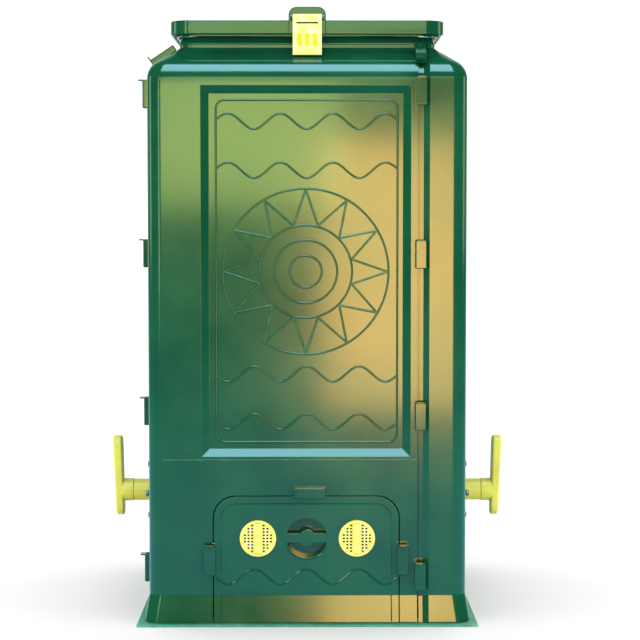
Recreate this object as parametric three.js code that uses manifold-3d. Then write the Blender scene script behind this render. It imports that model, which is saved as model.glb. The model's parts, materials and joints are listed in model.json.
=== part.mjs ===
// Upright garden composter: four identical wall panels clipped into a square bin on a base grid, a collar that ties
// them at the neck, a hinged lid with a swing latch, a lift-off take-out door with two turning vents, and a cross
// shaft with mixing tines that is turned by a lever on each side. Millimetres, +Z up, the front faces -Y, and the
// origin is the middle of the underside of the base grid.
import * as THREE from "three";
import { mergeVertices } from "three/addons/utils/BufferGeometryUtils.js";
import Module from "manifold-3d";

const wasm = await Module();
wasm.setup();

// ---- General ----
const GAP = 0.3; // between pieces that touch
const WALL = 4; // moulded wall thickness
const BEYOND = 700; // how far a cutting block runs past what it cuts
const PAST = 5; // how far a hollow runs past an open end
const JOIN = 1; // how far the parts of one piece run into each other
const MERGE_DISTANCE = 1e-3;
const CORNER_STEPS = 3; // facets in a quarter turn of a vertical corner
const ROUND_SEGMENTS = 20;
const FINE_SEGMENTS = 8; // for pins, screws and small bores

// ---- Bin body (heights are above the foot of the walls) ----
const BODY_HALF = 290; // overall size: half the width across the walls
const CORNER_RADIUS = 28;
const FOOT_FLARE = 8;
const FOOT_TOP = 40;
const FOOT_RISE = 19; // height over which the flare runs back into the wall
const SHOULDER_Z = 988; // overall size: where the wall starts to curve in
const SHOULDER_RADIUS = 40;
const SHOULDER_SLOPE = THREE.MathUtils.degToRad(34); // above the horizontal
const SHOULDER_STEPS = 3;
const NECK_INSET = 56; // of the neck from the walls
const NECK_HEIGHT = 6;

// ---- Seams: each panel's end lies over the lowered edge of the next one ----
const SEAM_FROM_CORNER = 90; // of the seam from the side of the bin
const SEAM_GROOVE = 21; // from the panel's end to the full-height face of its neighbour
const LAP_GAP = 0.5;
const LAP_DEPTH = WALL + LAP_GAP; // how far the neighbour's edge is lowered
const LAP_UNDER = 9; // how far the lowered edge reaches under the panel's end
const LAP_WEB = 9; // width of the thick step between the lowered edge and the face
const LAP_TOP_MARGIN = 14; // the lowered edge stops this far below the neck

// ---- Recessed field on every panel ----
const FIELD_FROM_CORNER = 98; // of the field's edge from the side of the bin
const FIELD_FROM_SEAM = 13;
const FIELD_BOTTOM = 304;
const FIELD_FROM_SHOULDER = 13;
const FIELD_DEPTH = 9;
const FIELD_BEVEL = 14;

// ---- Clips: open-backed channels that slide over two lugs ----
const CLIP_WIDTH = 20;
const CLIP_LENGTH = 52;
const CLIP_PROUD = 13;
const CLIP_SKIN = 2.2;
const CLIP_TAB = 21.5; // how far the end tab stands from the wall
const CLIP_TAB_THICKNESS = 2.5;
const CLIP_SHIFT = 5; // from the seam to the middle of the clip
const CLIP_NAMES = ["foot", "lower", "middle", "upper"]; // evenly spaced up each wall
const CLIP_FOOT_Z = 86;
const CLIP_FROM_SHOULDER = 23;
const SHOULDER_CLIP_DROP = 6; // from the neck to the upper end of the shoulder's clip
const LUG_THICKNESS = 2.5;
const LUG_CLEARANCE = 0.3;
const LUG_PROUD = 9.5;
const LUG_LENGTH = 40;
const LUG_ROOT = 2; // how deep a lug is rooted in the wall

// ---- Take-out door ----
const DOOR_LEFT = -171;
const DOOR_RIGHT = 167;
const DOOR_TOP = 232;
const DOOR_RADIUS = 40;
const DOOR_GAP = 1;
const DOOR_LIP = 7; // how far the wall's inner lip reaches behind the door
const DOOR_RIM = 8; // width of the thickened wall around the door
const DOOR_CLIP_LENGTH = 57;
const DOOR_CLIP_COVER = 3.5; // how much of the door a clip overlaps
const DOOR_CLIP_Z = 116.5;
const DOOR_CLIP_X = 4;

// ---- Vents in the door ----
const VENT_Z = 155;
const VENT_X = 90;
const VENT_RADIUS = 33;
const VENT_FLANGE_WIDTH = 4; // of the flange around the spigot
const VENT_FLANGE = 4;
const VENT_SPIGOT = 5.5; // depth of the spigot behind the door's face
const VENT_BULKHEAD = 3;
const VENT_CLEARANCE = 0.5; // around the spigot and the stem
const VENT_SEAT_WALL = 4;
const VENT_BAR_WIDTH = 14.5;
const VENT_BAR_PROUD = 4;
const VENT_SLOT_WIDTH = 3.6;
const VENT_SLOT_PITCH = 6.6;
const VENT_SLOTS_A_SIDE = 3;
const VENT_SLOT_EDGE = 3; // from a slot's end to the spigot's edge
const VENT_STEM_RADIUS = 4;
const VENT_STEM_HEAD = 6;
const VENT_STEM_HEAD_THICKNESS = 2;

// ---- Finger grip in the door ----
const GRIP_X = -1.5;
const GRIP_RADIUS = 37;
const GRIP_DEPTH = 24;
const GRIP_BAR_HEIGHT = 16;
const GRIP_BAR_THICKNESS = 8;
const GRIP_BULGE_RADIUS = 15;

// ---- Base grid ----
const BASE_MARGIN = 12; // of the base outside the walls' foot
const BASE_THICKNESS = 4;
const BASE_CORNER = 12;
const BASE_HOLES = 6; // a side
const BASE_HOLE_SHARE = 0.55; // of the pitch
const BASE_BORDER = 50;
const BASE_RIB_HEIGHT = 8;

// ---- Collar, lid and hinge (heights are above the foot of the walls) ----
const COLLAR_HEIGHT = 14; // above the walls' top edge
const COLLAR_FLARE = 15;
const COLLAR_SKIRT = 20; // depth of the skirt inside the neck
const COLLAR_JOIN = 2; // of the parts that grow from the collar above its foot
const COLLAR_CLEARANCE = 0.5;
const COLLAR_MOUTH_CORNER = 12;
const LID_OVERHANG = 1; // of the rim outside the collar
const LID_CORNER = 36;
const LID_HEIGHT = 25;
const LID_LIFT = 3; // of the rim's lower edge above the collar
const LID_SKIN = 4;
const LID_RIB_INSET = 10; // of the ribs that rest on the collar
const LUG_PLATE_WIDTH = 68;
const LUG_PLATE_RISE = 24;
const LUG_PLATE_RADIUS = 15;
const LUG_PLATE_THICKNESS = 4;
const HINGE_BEHIND = 12; // of the axis behind the lid's rim
const HINGE_RADIUS = 7;
const HINGE_PIN_RADIUS = 3;
const HINGE_X = 150;
const KNUCKLE_LENGTH = 24;

// ---- Latch ----
const LATCH_WIDTH = 52.5;
const LATCH_THICKNESS = 4;
const LATCH_LENGTH = 68; // below the pin
const LATCH_KNUCKLE_RADIUS = 6;
const LATCH_PIN_RADIUS = 2;
const LATCH_PIN_DROP = 20; // of the pin below the top of the lid's lug
const LATCH_OFF_LUG = 0.5;
const LATCH_NOSE_HEIGHT = 8;
const LATCH_NOSE_WIDTH = 36;
const LATCH_SLOT_WIDTH = 39;
const LATCH_SLOT_HEIGHT = 3;
const LATCH_SLOT_DROP = 9;
const LATCH_HOLLOWS = 3; // finger hollows side by side
const LATCH_HOLLOW_WIDTH = 9;
const LATCH_HOLLOW_PITCH = 14;
const LATCH_HOLLOW_HEIGHT = 22;
const LATCH_HOLLOW_LIFT = 12; // above the plate's lower edge
const LATCH_HOLLOW_DEPTH = 1.5;
const CATCH_HEIGHT = 4;
const CATCH_REACH = 20; // of the catch in front of the neck
const CATCH_UNDER = 1; // of the latch's nose below the catch
const CATCH_CLEARANCE = 0.5;
const EAR_THICKNESS = 4.5;

// ---- Mixer: shaft, bushes, flanges, levers and tines ----
const SHAFT_Z = 200.7;
const SHAFT_RADIUS = 14;
const SHAFT_CLEARANCE = 0.3;
const BUSH_WALL = 4;
const BUSH_INSIDE = 8; // of the bush inside the wall's outer face
const FLANGE_RADIUS = 62;
const FLANGE_THICKNESS = 7;
const BOSS_RADIUS = 28;
const BOSS_PROUD = 19; // from the wall
const SCREW_CIRCLE = 50.5;
const SCREW_COUNT = 4;
const SCREW_RADIUS = 2.5;
const SCREW_CLEARANCE = 0.4;
const SCREW_HEAD_RADIUS = 6;
const SCREW_HEAD_HEIGHT = 6.5;
const SCREW_BOSS_RADIUS = 9;
const SCREW_INSIDE = 6; // of the screw's end behind the wall
const SLEEVE_RADIUS = 21.2;
const SLEEVE_LENGTH = 33;
const LEVER_HUB_RADIUS = 22.2;
const LEVER_HUB_LENGTH = 19;
const LEVER_THICKNESS = 18;
const LEVER_FOOT_THICKNESS = 15;
const LEVER_RISE = 108; // above the shaft's axis
const LEVER_DROP = 50; // below it
const LEVER_WIDTH = 40;
const LEVER_LEAN = 4; // of the lever's top away from the bin
const END_SCREW_RADIUS = 4;
const END_SCREW_LENGTH = 26;
const END_SCREW_HEAD_RADIUS = 8;
const END_SCREW_HEAD_HEIGHT = 5;
const TINE_REACH = 110;
const TINE_THICKNESS = 20;
const TINE_WIDTH = 14;
const TINE_EYE_WALL = 8;
const TINE_PITCH = 110;
const TINE_COUNT = 4;
const TINE_TURN = THREE.MathUtils.degToRad(30); // of the first tine from the vertical

// ---- Worked out from the sizes above ----
const QUARTER = Math.PI / 2;
const NECK_HALF = BODY_HALF - NECK_INSET;
const SEAM_X = BODY_HALF - SEAM_FROM_CORNER; // from the middle of each face
const FIELD_LEFT = FIELD_FROM_CORNER - BODY_HALF;
const FIELD_RIGHT = SEAM_X - FIELD_FROM_SEAM;
const FIELD_TOP = SHOULDER_Z - FIELD_FROM_SHOULDER;
const BASE_SIZE = 2 * (BODY_HALF + FOOT_FLARE + BASE_MARGIN);
const LID_HALF = NECK_HALF + COLLAR_FLARE + LID_OVERHANG;
const LID_RIB_HALF = LID_HALF - LID_RIB_INSET;
const VENT_SPIGOT_RADIUS = VENT_RADIUS - VENT_FLANGE_WIDTH;
const FOOT_Z = BASE_THICKNESS + GAP; // the walls' foot above the ground
const NECK_Z = shoulderPoints(0).at(-1)[1];
const WALL_TOP = NECK_Z + NECK_HEIGHT;
const COLLAR_Z = WALL_TOP + GAP;
const COLLAR_TOP = COLLAR_Z + COLLAR_HEIGHT;
const COLLAR_INNER = NECK_HALF - LAP_DEPTH - WALL - COLLAR_CLEARANCE - WALL;
const LID_Z = COLLAR_TOP + LID_LIFT;
const LID_TOP = LID_Z + LID_HEIGHT;
const HINGE_Y = LID_HALF + HINGE_BEHIND;
const HINGE_Z = LID_Z;
const HINGE_PIN_HALF = (3 / 2) * KNUCKLE_LENGTH; // three knuckles on each pin
const LATCH_Z = LID_TOP + LUG_PLATE_RISE - LATCH_PIN_DROP;
const LATCH_Y = -(LID_HALF + LUG_PLATE_THICKNESS + LATCH_OFF_LUG + LATCH_KNUCKLE_RADIUS);
const NOSE_TOP = COLLAR_Z + COLLAR_JOIN - CATCH_UNDER;
const BUSH_RADIUS = SHAFT_RADIUS + SHAFT_CLEARANCE + BUSH_WALL;
const SLEEVE_X = BODY_HALF + BOSS_PROUD + GAP;
const HUB_X = SLEEVE_X + SLEEVE_LENGTH + GAP;
const LEVER_X = HUB_X + LEVER_HUB_LENGTH;

// ---- Finishes ----
const GREEN = { color: 0x0c5a35, roughness: 0.32, metalness: 0 };
const YELLOW = { color: 0xe6e64a, roughness: 0.4, metalness: 0 };
const GRID_GREEN = { color: 0x3fae7d, roughness: 0.55, metalness: 0 };
const STEEL = { color: 0x9ea3a6, roughness: 0.35, metalness: 1 };
const BUSH_GREY = { color: 0x4a4d4f, roughness: 0.5, metalness: 0 };

// ---- Solids from three.js geometries ----

// A closed geometry as a manifold solid; triangles that collapse when close vertices merge are dropped.
function solid(geometry) {
  const bare = geometry.clone();
  bare.deleteAttribute("normal");
  bare.deleteAttribute("uv");
  const merged = mergeVertices(bare, MERGE_DISTANCE);
  const corners = merged.index.array;
  const kept = [];
  for (let start = 0; start < corners.length; start += 3) {
    const [a, b, c] = corners.slice(start, start + 3);
    if (a !== b && b !== c && c !== a) {
      kept.push(a, b, c);
    }
  }
  return new wasm.Manifold(
    new wasm.Mesh({
      numProp: 3,
      vertProperties: merged.attributes.position.array,
      triVerts: new Uint32Array(kept),
    }),
  );
}

// A manifold solid as a geometry for a mesh.
function geometryOf(made) {
  const mesh = made.getMesh();
  const geometry = new THREE.BufferGeometry();
  geometry.setAttribute("position", new THREE.BufferAttribute(mesh.vertProperties, mesh.numProp));
  geometry.setIndex(new THREE.BufferAttribute(mesh.triVerts, 1));
  geometry.computeVertexNormals();
  return geometry;
}

// A block between two limits along each axis, moved by a matrix if one is given.
function block(x, y, z, place = new THREE.Matrix4()) {
  const geometry = new THREE.BoxGeometry(x[1] - x[0], y[1] - y[0], z[1] - z[0]);
  geometry.translate((x[0] + x[1]) / 2, (y[0] + y[1]) / 2, (z[0] + z[1]) / 2);
  return solid(geometry.applyMatrix4(place));
}

const X_AXIS = new THREE.Vector3(1, 0, 0);
const Y_AXIS = new THREE.Vector3(0, 1, 0);
const Z_AXIS = new THREE.Vector3(0, 0, 1);

// How a flat outline and its depth turn into the part's axes: drawn in (y, z) for x, in (x, z) for y.
const DRAWN_FOR = {
  x: new THREE.Matrix4().makeBasis(Y_AXIS, Z_AXIS, X_AXIS),
  y: new THREE.Matrix4().makeBasis(X_AXIS, Z_AXIS, Y_AXIS.clone().negate()),
  z: new THREE.Matrix4(),
};

// An outline extruded along an axis between two places on it.
function extruded(shape, axis, from, to) {
  const geometry = new THREE.ExtrudeGeometry(shape, {
    depth: to - from,
    bevelEnabled: false,
    curveSegments: ROUND_SEGMENTS / 4,
  });
  geometry.applyMatrix4(DRAWN_FOR[axis]);
  const start = axis === "y" ? to : from;
  geometry.translate(axis === "x" ? start : 0, axis === "y" ? start : 0, axis === "z" ? start : 0);
  return solid(geometry);
}

// A cylinder along an axis, through a point given by its other two coordinates in the axis's drawing plane.
function rod(axis, radius, from, to, at = [0, 0], segments = ROUND_SEGMENTS) {
  const geometry = new THREE.CylinderGeometry(radius, radius, to - from, segments);
  geometry.rotateX(QUARTER);
  const middle = (from + to) / 2;
  if (axis === "x") {
    geometry.rotateY(QUARTER).translate(middle, at[0], at[1]);
  } else if (axis === "y") {
    geometry.rotateX(QUARTER).translate(at[0], middle, at[1]);
  } else {
    geometry.translate(at[0], at[1], middle);
  }
  return solid(geometry);
}

// A rectangle with rounded corners; a radius for the top two corners and one for the bottom two.
function roundedRectangle(left, right, bottom, top, topRadius, bottomRadius = topRadius) {
  const shape = new THREE.Shape();
  const corner = (x, z, radius, turns) => {
    if (radius > 0) {
      shape.absarc(x, z, radius, turns * QUARTER, (turns + 1) * QUARTER);
    } else {
      shape.lineTo(x, z);
    }
  };
  shape.moveTo(left + bottomRadius, bottom);
  corner(right - bottomRadius, bottom + bottomRadius, bottomRadius, -1);
  corner(right - topRadius, top - topRadius, topRadius, 0);
  corner(left + topRadius, top - topRadius, topRadius, 1);
  corner(left + bottomRadius, bottom + bottomRadius, bottomRadius, 2);
  return shape;
}

// A rounded square whose half-width follows a profile of [half-width, height] points. Each pair of parallel sides,
// and each facet of the corners, is the same profile extruded across at its own turn.
function roundedStack(profile, radius) {
  let made = null;
  for (let step = 0; step < 2 * CORNER_STEPS; step++) {
    const turn = (step * QUARTER) / CORNER_STEPS;
    const spread = Math.abs(Math.cos(turn)) + Math.abs(Math.sin(turn));
    const right = profile.map(([half, z]) => new THREE.Vector2((half - radius) * spread + radius, z));
    const left = right.map((point) => new THREE.Vector2(-point.x, point.y)).reverse();
    const geometry = new THREE.ExtrudeGeometry(new THREE.Shape([...right, ...left]), {
      depth: 2 * BEYOND,
      bevelEnabled: false,
    });
    geometry.applyMatrix4(DRAWN_FOR.y).translate(0, BEYOND, 0).rotateZ(turn);
    made = made ? made.intersect(solid(geometry)) : solid(geometry);
  }
  return made;
}

// A mesh with its own material.
function piece(name, made, finish) {
  const mesh = new THREE.Mesh(geometryOf(made), new THREE.MeshStandardMaterial(finish));
  mesh.name = name;
  return mesh;
}

// ---- Wall panels ----

// The shoulder's profile, from the top of the wall to the neck, moved inwards by an inset.
function shoulderPoints(inset) {
  const points = [];
  const turn = QUARTER - SHOULDER_SLOPE;
  for (let step = 0; step <= SHOULDER_STEPS; step++) {
    const angle = (turn * step) / SHOULDER_STEPS;
    points.push([
      BODY_HALF - SHOULDER_RADIUS + (SHOULDER_RADIUS - inset) * Math.cos(angle),
      SHOULDER_Z + (SHOULDER_RADIUS - inset) * Math.sin(angle),
    ]);
  }
  const [half, z] = points.at(-1);
  points.push([NECK_HALF - inset, z + (half - NECK_HALF + inset) * Math.tan(SHOULDER_SLOPE)]);
  return points;
}

// The whole bin as one block, moved inwards by an inset; a hollow runs past both ends.
function bin(inset, runsPast = PAST) {
  const wall = BODY_HALF - inset;
  return roundedStack(
    [
      [wall + FOOT_FLARE, -runsPast],
      [wall + FOOT_FLARE, FOOT_TOP],
      [wall, FOOT_TOP + FOOT_RISE],
      ...shoulderPoints(inset),
      [NECK_HALF - inset, WALL_TOP + runsPast],
    ],
    CORNER_RADIUS - inset,
  );
}

const BIN_OUTSIDE = bin(0, 0);
const FACE_SHELL = BIN_OUTSIDE.subtract(bin(WALL));
const LAP_SHELL = bin(LAP_DEPTH, 0).subtract(bin(LAP_DEPTH + WALL));
const THICK_SHELL = BIN_OUTSIDE.subtract(bin(LAP_DEPTH + WALL));

// The recessed field as a tapered block, moved into the wall by a depth.
function field(deeper) {
  const shape = roundedRectangle(
    FIELD_LEFT + FIELD_BEVEL,
    FIELD_RIGHT - FIELD_BEVEL,
    FIELD_BOTTOM + FIELD_BEVEL,
    FIELD_TOP - FIELD_BEVEL,
    0,
  );
  const geometry = new THREE.ExtrudeGeometry(shape, {
    depth: PAST + deeper,
    bevelThickness: FIELD_DEPTH,
    bevelSize: FIELD_BEVEL,
    bevelSegments: 1,
  });
  geometry.applyMatrix4(DRAWN_FOR.y).translate(0, deeper - BODY_HALF, 0);
  return solid(geometry);
}

// Where a clip's frame stands on the wall: origin on the face at the clip's middle, -Y outwards, Z along the clip.
function clipPlaces() {
  const pitch = (SHOULDER_Z - CLIP_FROM_SHOULDER - CLIP_FOOT_Z) / (CLIP_NAMES.length - 1);
  const places = CLIP_NAMES.map((name, index) => ({
    name,
    place: new THREE.Matrix4().makeTranslation(SEAM_X + CLIP_SHIFT, -BODY_HALF, CLIP_FOOT_Z + pitch * index),
  }));
  const down = SHOULDER_CLIP_DROP + CLIP_LENGTH / 2;
  const shoulder = new THREE.Matrix4().makeRotationX(SHOULDER_SLOPE - QUARTER);
  shoulder.setPosition(
    SEAM_X + CLIP_SHIFT,
    -NECK_HALF - down * Math.cos(SHOULDER_SLOPE),
    NECK_Z - down * Math.sin(SHOULDER_SLOPE),
  );
  return [...places, { name: "shoulder", place: shoulder }];
}

const LUG_OUTER = CLIP_WIDTH / 2 - CLIP_SKIN - LUG_CLEARANCE; // from the clip's middle

// The lug under one side of a clip, -1 or 1 across it, rooted in the wall to a depth.
function clipLug(place, side, root) {
  const near = side < 0 ? -LUG_OUTER : LUG_OUTER - LUG_THICKNESS;
  return block(
    [near, near + LUG_THICKNESS],
    [-LUG_PROUD, root],
    [-LUG_LENGTH / 2, LUG_LENGTH / 2],
    place,
  );
}

// One panel in the front face's place: its face, the corner at -X, and the lowered edge beyond that corner.
function wallPanel() {
  const groove = SEAM_X + SEAM_GROOVE;
  const lapTop = NECK_Z - LAP_TOP_MARGIN;
  const cornerFace = new THREE.Matrix4().makeRotationZ(-QUARTER);
  let made = FACE_SHELL.intersect(block([-BEYOND, SEAM_X], [-BEYOND, -groove], [-PAST, WALL_TOP + PAST]));
  const lap = block([SEAM_X - LAP_UNDER, groove], [-BEYOND, 0], [-PAST, lapTop], cornerFace);
  const web = block([groove - LAP_WEB, groove + PAST], [-BEYOND, 0], [-PAST, lapTop], cornerFace);
  made = made.add(LAP_SHELL.intersect(lap)).add(THICK_SHELL.intersect(web));
  made = made.add(field(WALL).intersect(BIN_OUTSIDE)).subtract(field(0));
  for (const { place } of clipPlaces()) {
    const overLap = cornerFace.clone().multiply(place);
    made = made.add(clipLug(place, -1, LUG_ROOT)).add(clipLug(overLap, 1, LAP_DEPTH + LUG_ROOT));
  }
  return made;
}

// The door's outline in the front view, grown or shrunk, open below the foot.
function doorOutline(grow) {
  return roundedRectangle(
    DOOR_LEFT - grow,
    DOOR_RIGHT + grow,
    -PAST,
    DOOR_TOP + grow,
    DOOR_RADIUS + grow,
    0,
  );
}

// The front wall's thickness inside an outline.
function throughFront(grow) {
  return extruded(doorOutline(grow), "y", -BODY_HALF - FOOT_FLARE - PAST, -BODY_HALF / 2);
}

// The front panel: the take-out opening with a thick rim and a lip behind the door, and the door clips' lugs.
function frontPanel() {
  const rim = throughFront(DOOR_GAP + DOOR_RIM);
  const lip = LAP_SHELL.intersect(rim.subtract(throughFront(-DOOR_LIP)));
  const edge = THICK_SHELL.intersect(rim.subtract(throughFront(DOOR_GAP)));
  let made = wallPanel().subtract(throughFront(DOOR_GAP)).add(lip).add(edge);
  for (const { place, lugSide } of doorClipPlaces()) {
    made = made.add(clipLug(place, lugSide, LUG_ROOT));
  }
  return made;
}

// A side panel: the hole for the shaft's bush and the flange's screw holes.
function sidePanel() {
  let made = wallPanel().subtract(
    rod("y", BUSH_RADIUS + GAP, -BODY_HALF - PAST, -BODY_HALF + BUSH_INSIDE + PAST, [0, SHAFT_Z]),
  );
  for (const [across, up] of screwPlaces()) {
    const hole = rod(
      "y",
      SCREW_RADIUS + SCREW_CLEARANCE,
      -BODY_HALF - PAST,
      -BODY_HALF + WALL + PAST,
      [across, SHAFT_Z + up],
      FINE_SEGMENTS,
    );
    made = made.subtract(hole);
  }
  return made;
}

// ---- Clips ----

// A clip in its own frame, open towards the wall and at its lower end, with the tab at the upper end.
function clip(length) {
  const half = CLIP_WIDTH / 2;
  const channel = block([-half, half], [-CLIP_PROUD, -GAP], [-length / 2, length / 2]);
  const hollow = block(
    [CLIP_SKIN - half, half - CLIP_SKIN],
    [CLIP_SKIN - CLIP_PROUD, PAST],
    [-length / 2 - PAST, length / 2 - CLIP_TAB_THICKNESS],
  );
  const tab = block([-half, half], [-CLIP_TAB, -GAP], [length / 2 - CLIP_TAB_THICKNESS, length / 2]);
  return channel.subtract(hollow).add(tab);
}

// Where the door's clips stand, mostly on the wall and over the door's edge, and the side of each that holds its lug.
function doorClipPlaces() {
  const beside = CLIP_WIDTH / 2 - DOOR_CLIP_COVER;
  const above = new THREE.Matrix4().makeRotationY(-QUARTER);
  above.setPosition(DOOR_CLIP_X, -BODY_HALF, DOOR_TOP + beside);
  const left = new THREE.Matrix4().makeTranslation(DOOR_LEFT - beside, -BODY_HALF, DOOR_CLIP_Z);
  const right = new THREE.Matrix4().makeTranslation(DOOR_RIGHT + beside, -BODY_HALF, DOOR_CLIP_Z);
  return [
    { name: "above", place: above, lugSide: 1 },
    { name: "left", place: left, lugSide: -1 },
    { name: "right", place: right, lugSide: 1 },
  ];
}

// ---- Door and vents ----

// The slots of a vent, on both sides of its middle bar, within a radius.
function ventSlots(radius, from, to) {
  const slots = [];
  for (const side of [-1, 1]) {
    for (let column = 0; column < VENT_SLOTS_A_SIDE; column++) {
      const x = side * (VENT_BAR_WIDTH / 2 + VENT_SLOT_PITCH * (column + 1 / 2));
      const reach = Math.sqrt(radius ** 2 - (Math.abs(x) + VENT_SLOT_WIDTH / 2) ** 2);
      slots.push(block([x - VENT_SLOT_WIDTH / 2, x + VENT_SLOT_WIDTH / 2], [from, to], [-reach, reach]));
    }
  }
  return slots;
}

// The seat of a vent behind the door's face, in the vent's frame: Y is 0 on the face.
function ventSeat() {
  const depth = VENT_SPIGOT + GAP + VENT_BULKHEAD;
  const bore = VENT_SPIGOT_RADIUS + VENT_CLEARANCE;
  let seat = rod("y", bore + VENT_SEAT_WALL, 0, depth);
  seat = seat.subtract(rod("y", bore, -PAST, VENT_SPIGOT + GAP));
  seat = seat.subtract(rod("y", VENT_STEM_RADIUS + VENT_CLEARANCE, 0, depth + PAST, [0, 0], FINE_SEGMENTS));
  for (const slot of ventSlots(VENT_SPIGOT_RADIUS - VENT_SLOT_EDGE, 0, depth + PAST)) {
    seat = seat.subtract(slot);
  }
  return seat;
}

// A vent dial in its own frame: a flange on the door's face, a spigot in the seat, a bar to turn it by, and a headed
// stem that holds it.
function ventDial() {
  const seatBack = VENT_SPIGOT + GAP + VENT_BULKHEAD + GAP;
  const half = VENT_BAR_WIDTH / 2;
  const flange = rod("y", VENT_RADIUS, -VENT_FLANGE - GAP, -GAP);
  let made = flange.add(rod("y", VENT_SPIGOT_RADIUS, -VENT_FLANGE, VENT_SPIGOT));
  for (const slot of ventSlots(VENT_SPIGOT_RADIUS - VENT_SLOT_EDGE, -BEYOND, BEYOND)) {
    made = made.subtract(slot);
  }
  const bar = block([-half, half], [-VENT_FLANGE - VENT_BAR_PROUD, -VENT_FLANGE], [-VENT_RADIUS, VENT_RADIUS]);
  const stem = rod("y", VENT_STEM_RADIUS, 0, seatBack + JOIN, [0, 0], FINE_SEGMENTS);
  const head = rod("y", VENT_STEM_HEAD, seatBack, seatBack + VENT_STEM_HEAD_THICKNESS, [0, 0], FINE_SEGMENTS);
  return made.add(bar.intersect(rod("y", VENT_SPIGOT_RADIUS, -BEYOND, BEYOND))).add(stem).add(head);
}

// The door: the wall's own face and foot flare, two vent seats, and a round cup with a bar across it to pull by.
function doorPanel() {
  let made = FACE_SHELL.intersect(throughFront(0));
  const face = new THREE.Matrix4();
  for (const side of [-1, 1]) {
    const opening = rod(
      "y",
      VENT_SPIGOT_RADIUS + VENT_CLEARANCE,
      -BODY_HALF - PAST,
      -BODY_HALF + WALL + PAST,
      [side * VENT_X, VENT_Z],
    );
    face.makeTranslation(side * VENT_X, -BODY_HALF, VENT_Z);
    made = made.subtract(opening).add(solid(geometryOf(ventSeat()).applyMatrix4(face)));
  }
  const at = [GRIP_X, VENT_Z];
  const cup = rod("y", GRIP_RADIUS + WALL, -BODY_HALF, -BODY_HALF + GRIP_DEPTH + WALL, at);
  const hollow = rod("y", GRIP_RADIUS, -BODY_HALF - PAST, -BODY_HALF + GRIP_DEPTH, at);
  const bar = block(
    [GRIP_X - GRIP_RADIUS - JOIN, GRIP_X + GRIP_RADIUS + JOIN],
    [-BODY_HALF, -BODY_HALF + GRIP_BAR_THICKNESS],
    [VENT_Z - GRIP_BAR_HEIGHT / 2, VENT_Z + GRIP_BAR_HEIGHT / 2],
  );
  const bulge = rod("y", GRIP_BULGE_RADIUS, -BODY_HALF, -BODY_HALF + GRIP_BAR_THICKNESS, at);
  return made.add(cup).subtract(hollow).add(bar).add(bulge);
}

// ---- Base grid ----

// The plate that the walls stand on, pierced all over, with a rib inside the walls' foot.
function baseGrid() {
  const half = BASE_SIZE / 2;
  let made = extruded(roundedRectangle(-half, half, -half, half, BASE_CORNER), "z", 0, BASE_THICKNESS);
  const pitch = (BASE_SIZE - 2 * BASE_BORDER) / BASE_HOLES;
  const reach = (pitch * BASE_HOLE_SHARE) / 2;
  for (let row = 0; row < BASE_HOLES; row++) {
    for (let column = 0; column < BASE_HOLES; column++) {
      const x = pitch * (column + 1 / 2) - half + BASE_BORDER;
      const y = pitch * (row + 1 / 2) - half + BASE_BORDER;
      made = made.subtract(block([x - reach, x + reach], [y - reach, y + reach], [-PAST, BASE_THICKNESS + PAST]));
    }
  }
  const ribHalf = BODY_HALF + FOOT_FLARE - LAP_DEPTH - WALL - LAP_GAP;
  const ribCorner = CORNER_RADIUS - LAP_DEPTH - WALL;
  const ribTop = BASE_THICKNESS + BASE_RIB_HEIGHT;
  const rib = roundedStack([[ribHalf, 0], [ribHalf, ribTop]], ribCorner);
  const inside = roundedStack([[ribHalf - WALL, -PAST], [ribHalf - WALL, ribTop + PAST]], ribCorner - WALL);
  return made.add(rib.subtract(inside));
}

// ---- Collar and lid ----

// One hinge knuckle with its bore; its place is along the hinge's axis.
function knuckle(from, to) {
  return rod("x", HINGE_RADIUS, from, to, [HINGE_Y, HINGE_Z], FINE_SEGMENTS);
}

// The bore for a hinge pin, right through.
function hingeBore(x) {
  return rod(
    "x",
    HINGE_PIN_RADIUS + GAP,
    x - 2 * KNUCKLE_LENGTH,
    x + 2 * KNUCKLE_LENGTH,
    [HINGE_Y, HINGE_Z],
    FINE_SEGMENTS,
  );
}

// The collar: a flared ring on the walls' top edge with a skirt inside the neck, the latch's catch at the front and
// two knuckles for each hinge at the back.
function topCollar() {
  const skirtHalf = COLLAR_INNER + WALL;
  const skirtCorner = CORNER_RADIUS - (NECK_HALF - skirtHalf);
  const ring = roundedStack([[NECK_HALF, COLLAR_Z], [NECK_HALF + COLLAR_FLARE, COLLAR_TOP]], CORNER_RADIUS);
  const skirt = roundedStack([[skirtHalf, COLLAR_Z - COLLAR_SKIRT], [skirtHalf, COLLAR_Z + JOIN]], skirtCorner);
  const mouth = roundedStack(
    [[COLLAR_INNER, COLLAR_Z - COLLAR_SKIRT - PAST], [COLLAR_INNER, COLLAR_TOP + PAST]],
    COLLAR_MOUTH_CORNER,
  );
  let made = ring.add(skirt).subtract(mouth);
  made = made.add(
    block(
      [-LATCH_NOSE_WIDTH / 2, LATCH_NOSE_WIDTH / 2],
      [-NECK_HALF - CATCH_REACH, -NECK_HALF + COLLAR_JOIN],
      [COLLAR_Z + COLLAR_JOIN, COLLAR_Z + COLLAR_JOIN + CATCH_HEIGHT],
    ),
  );
  for (const side of [-1, 1]) {
    for (const end of [-1, 1]) {
      const x = side * HINGE_X + end * KNUCKLE_LENGTH;
      const from = x - KNUCKLE_LENGTH / 2 + GAP;
      const to = x + KNUCKLE_LENGTH / 2 - GAP;
      const bracket = block([from, to], [NECK_HALF, HINGE_Y], [COLLAR_Z + COLLAR_JOIN, COLLAR_TOP]);
      made = made.add(bracket).add(knuckle(from, to));
    }
    made = made.subtract(hingeBore(side * HINGE_X));
  }
  return made;
}

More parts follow.
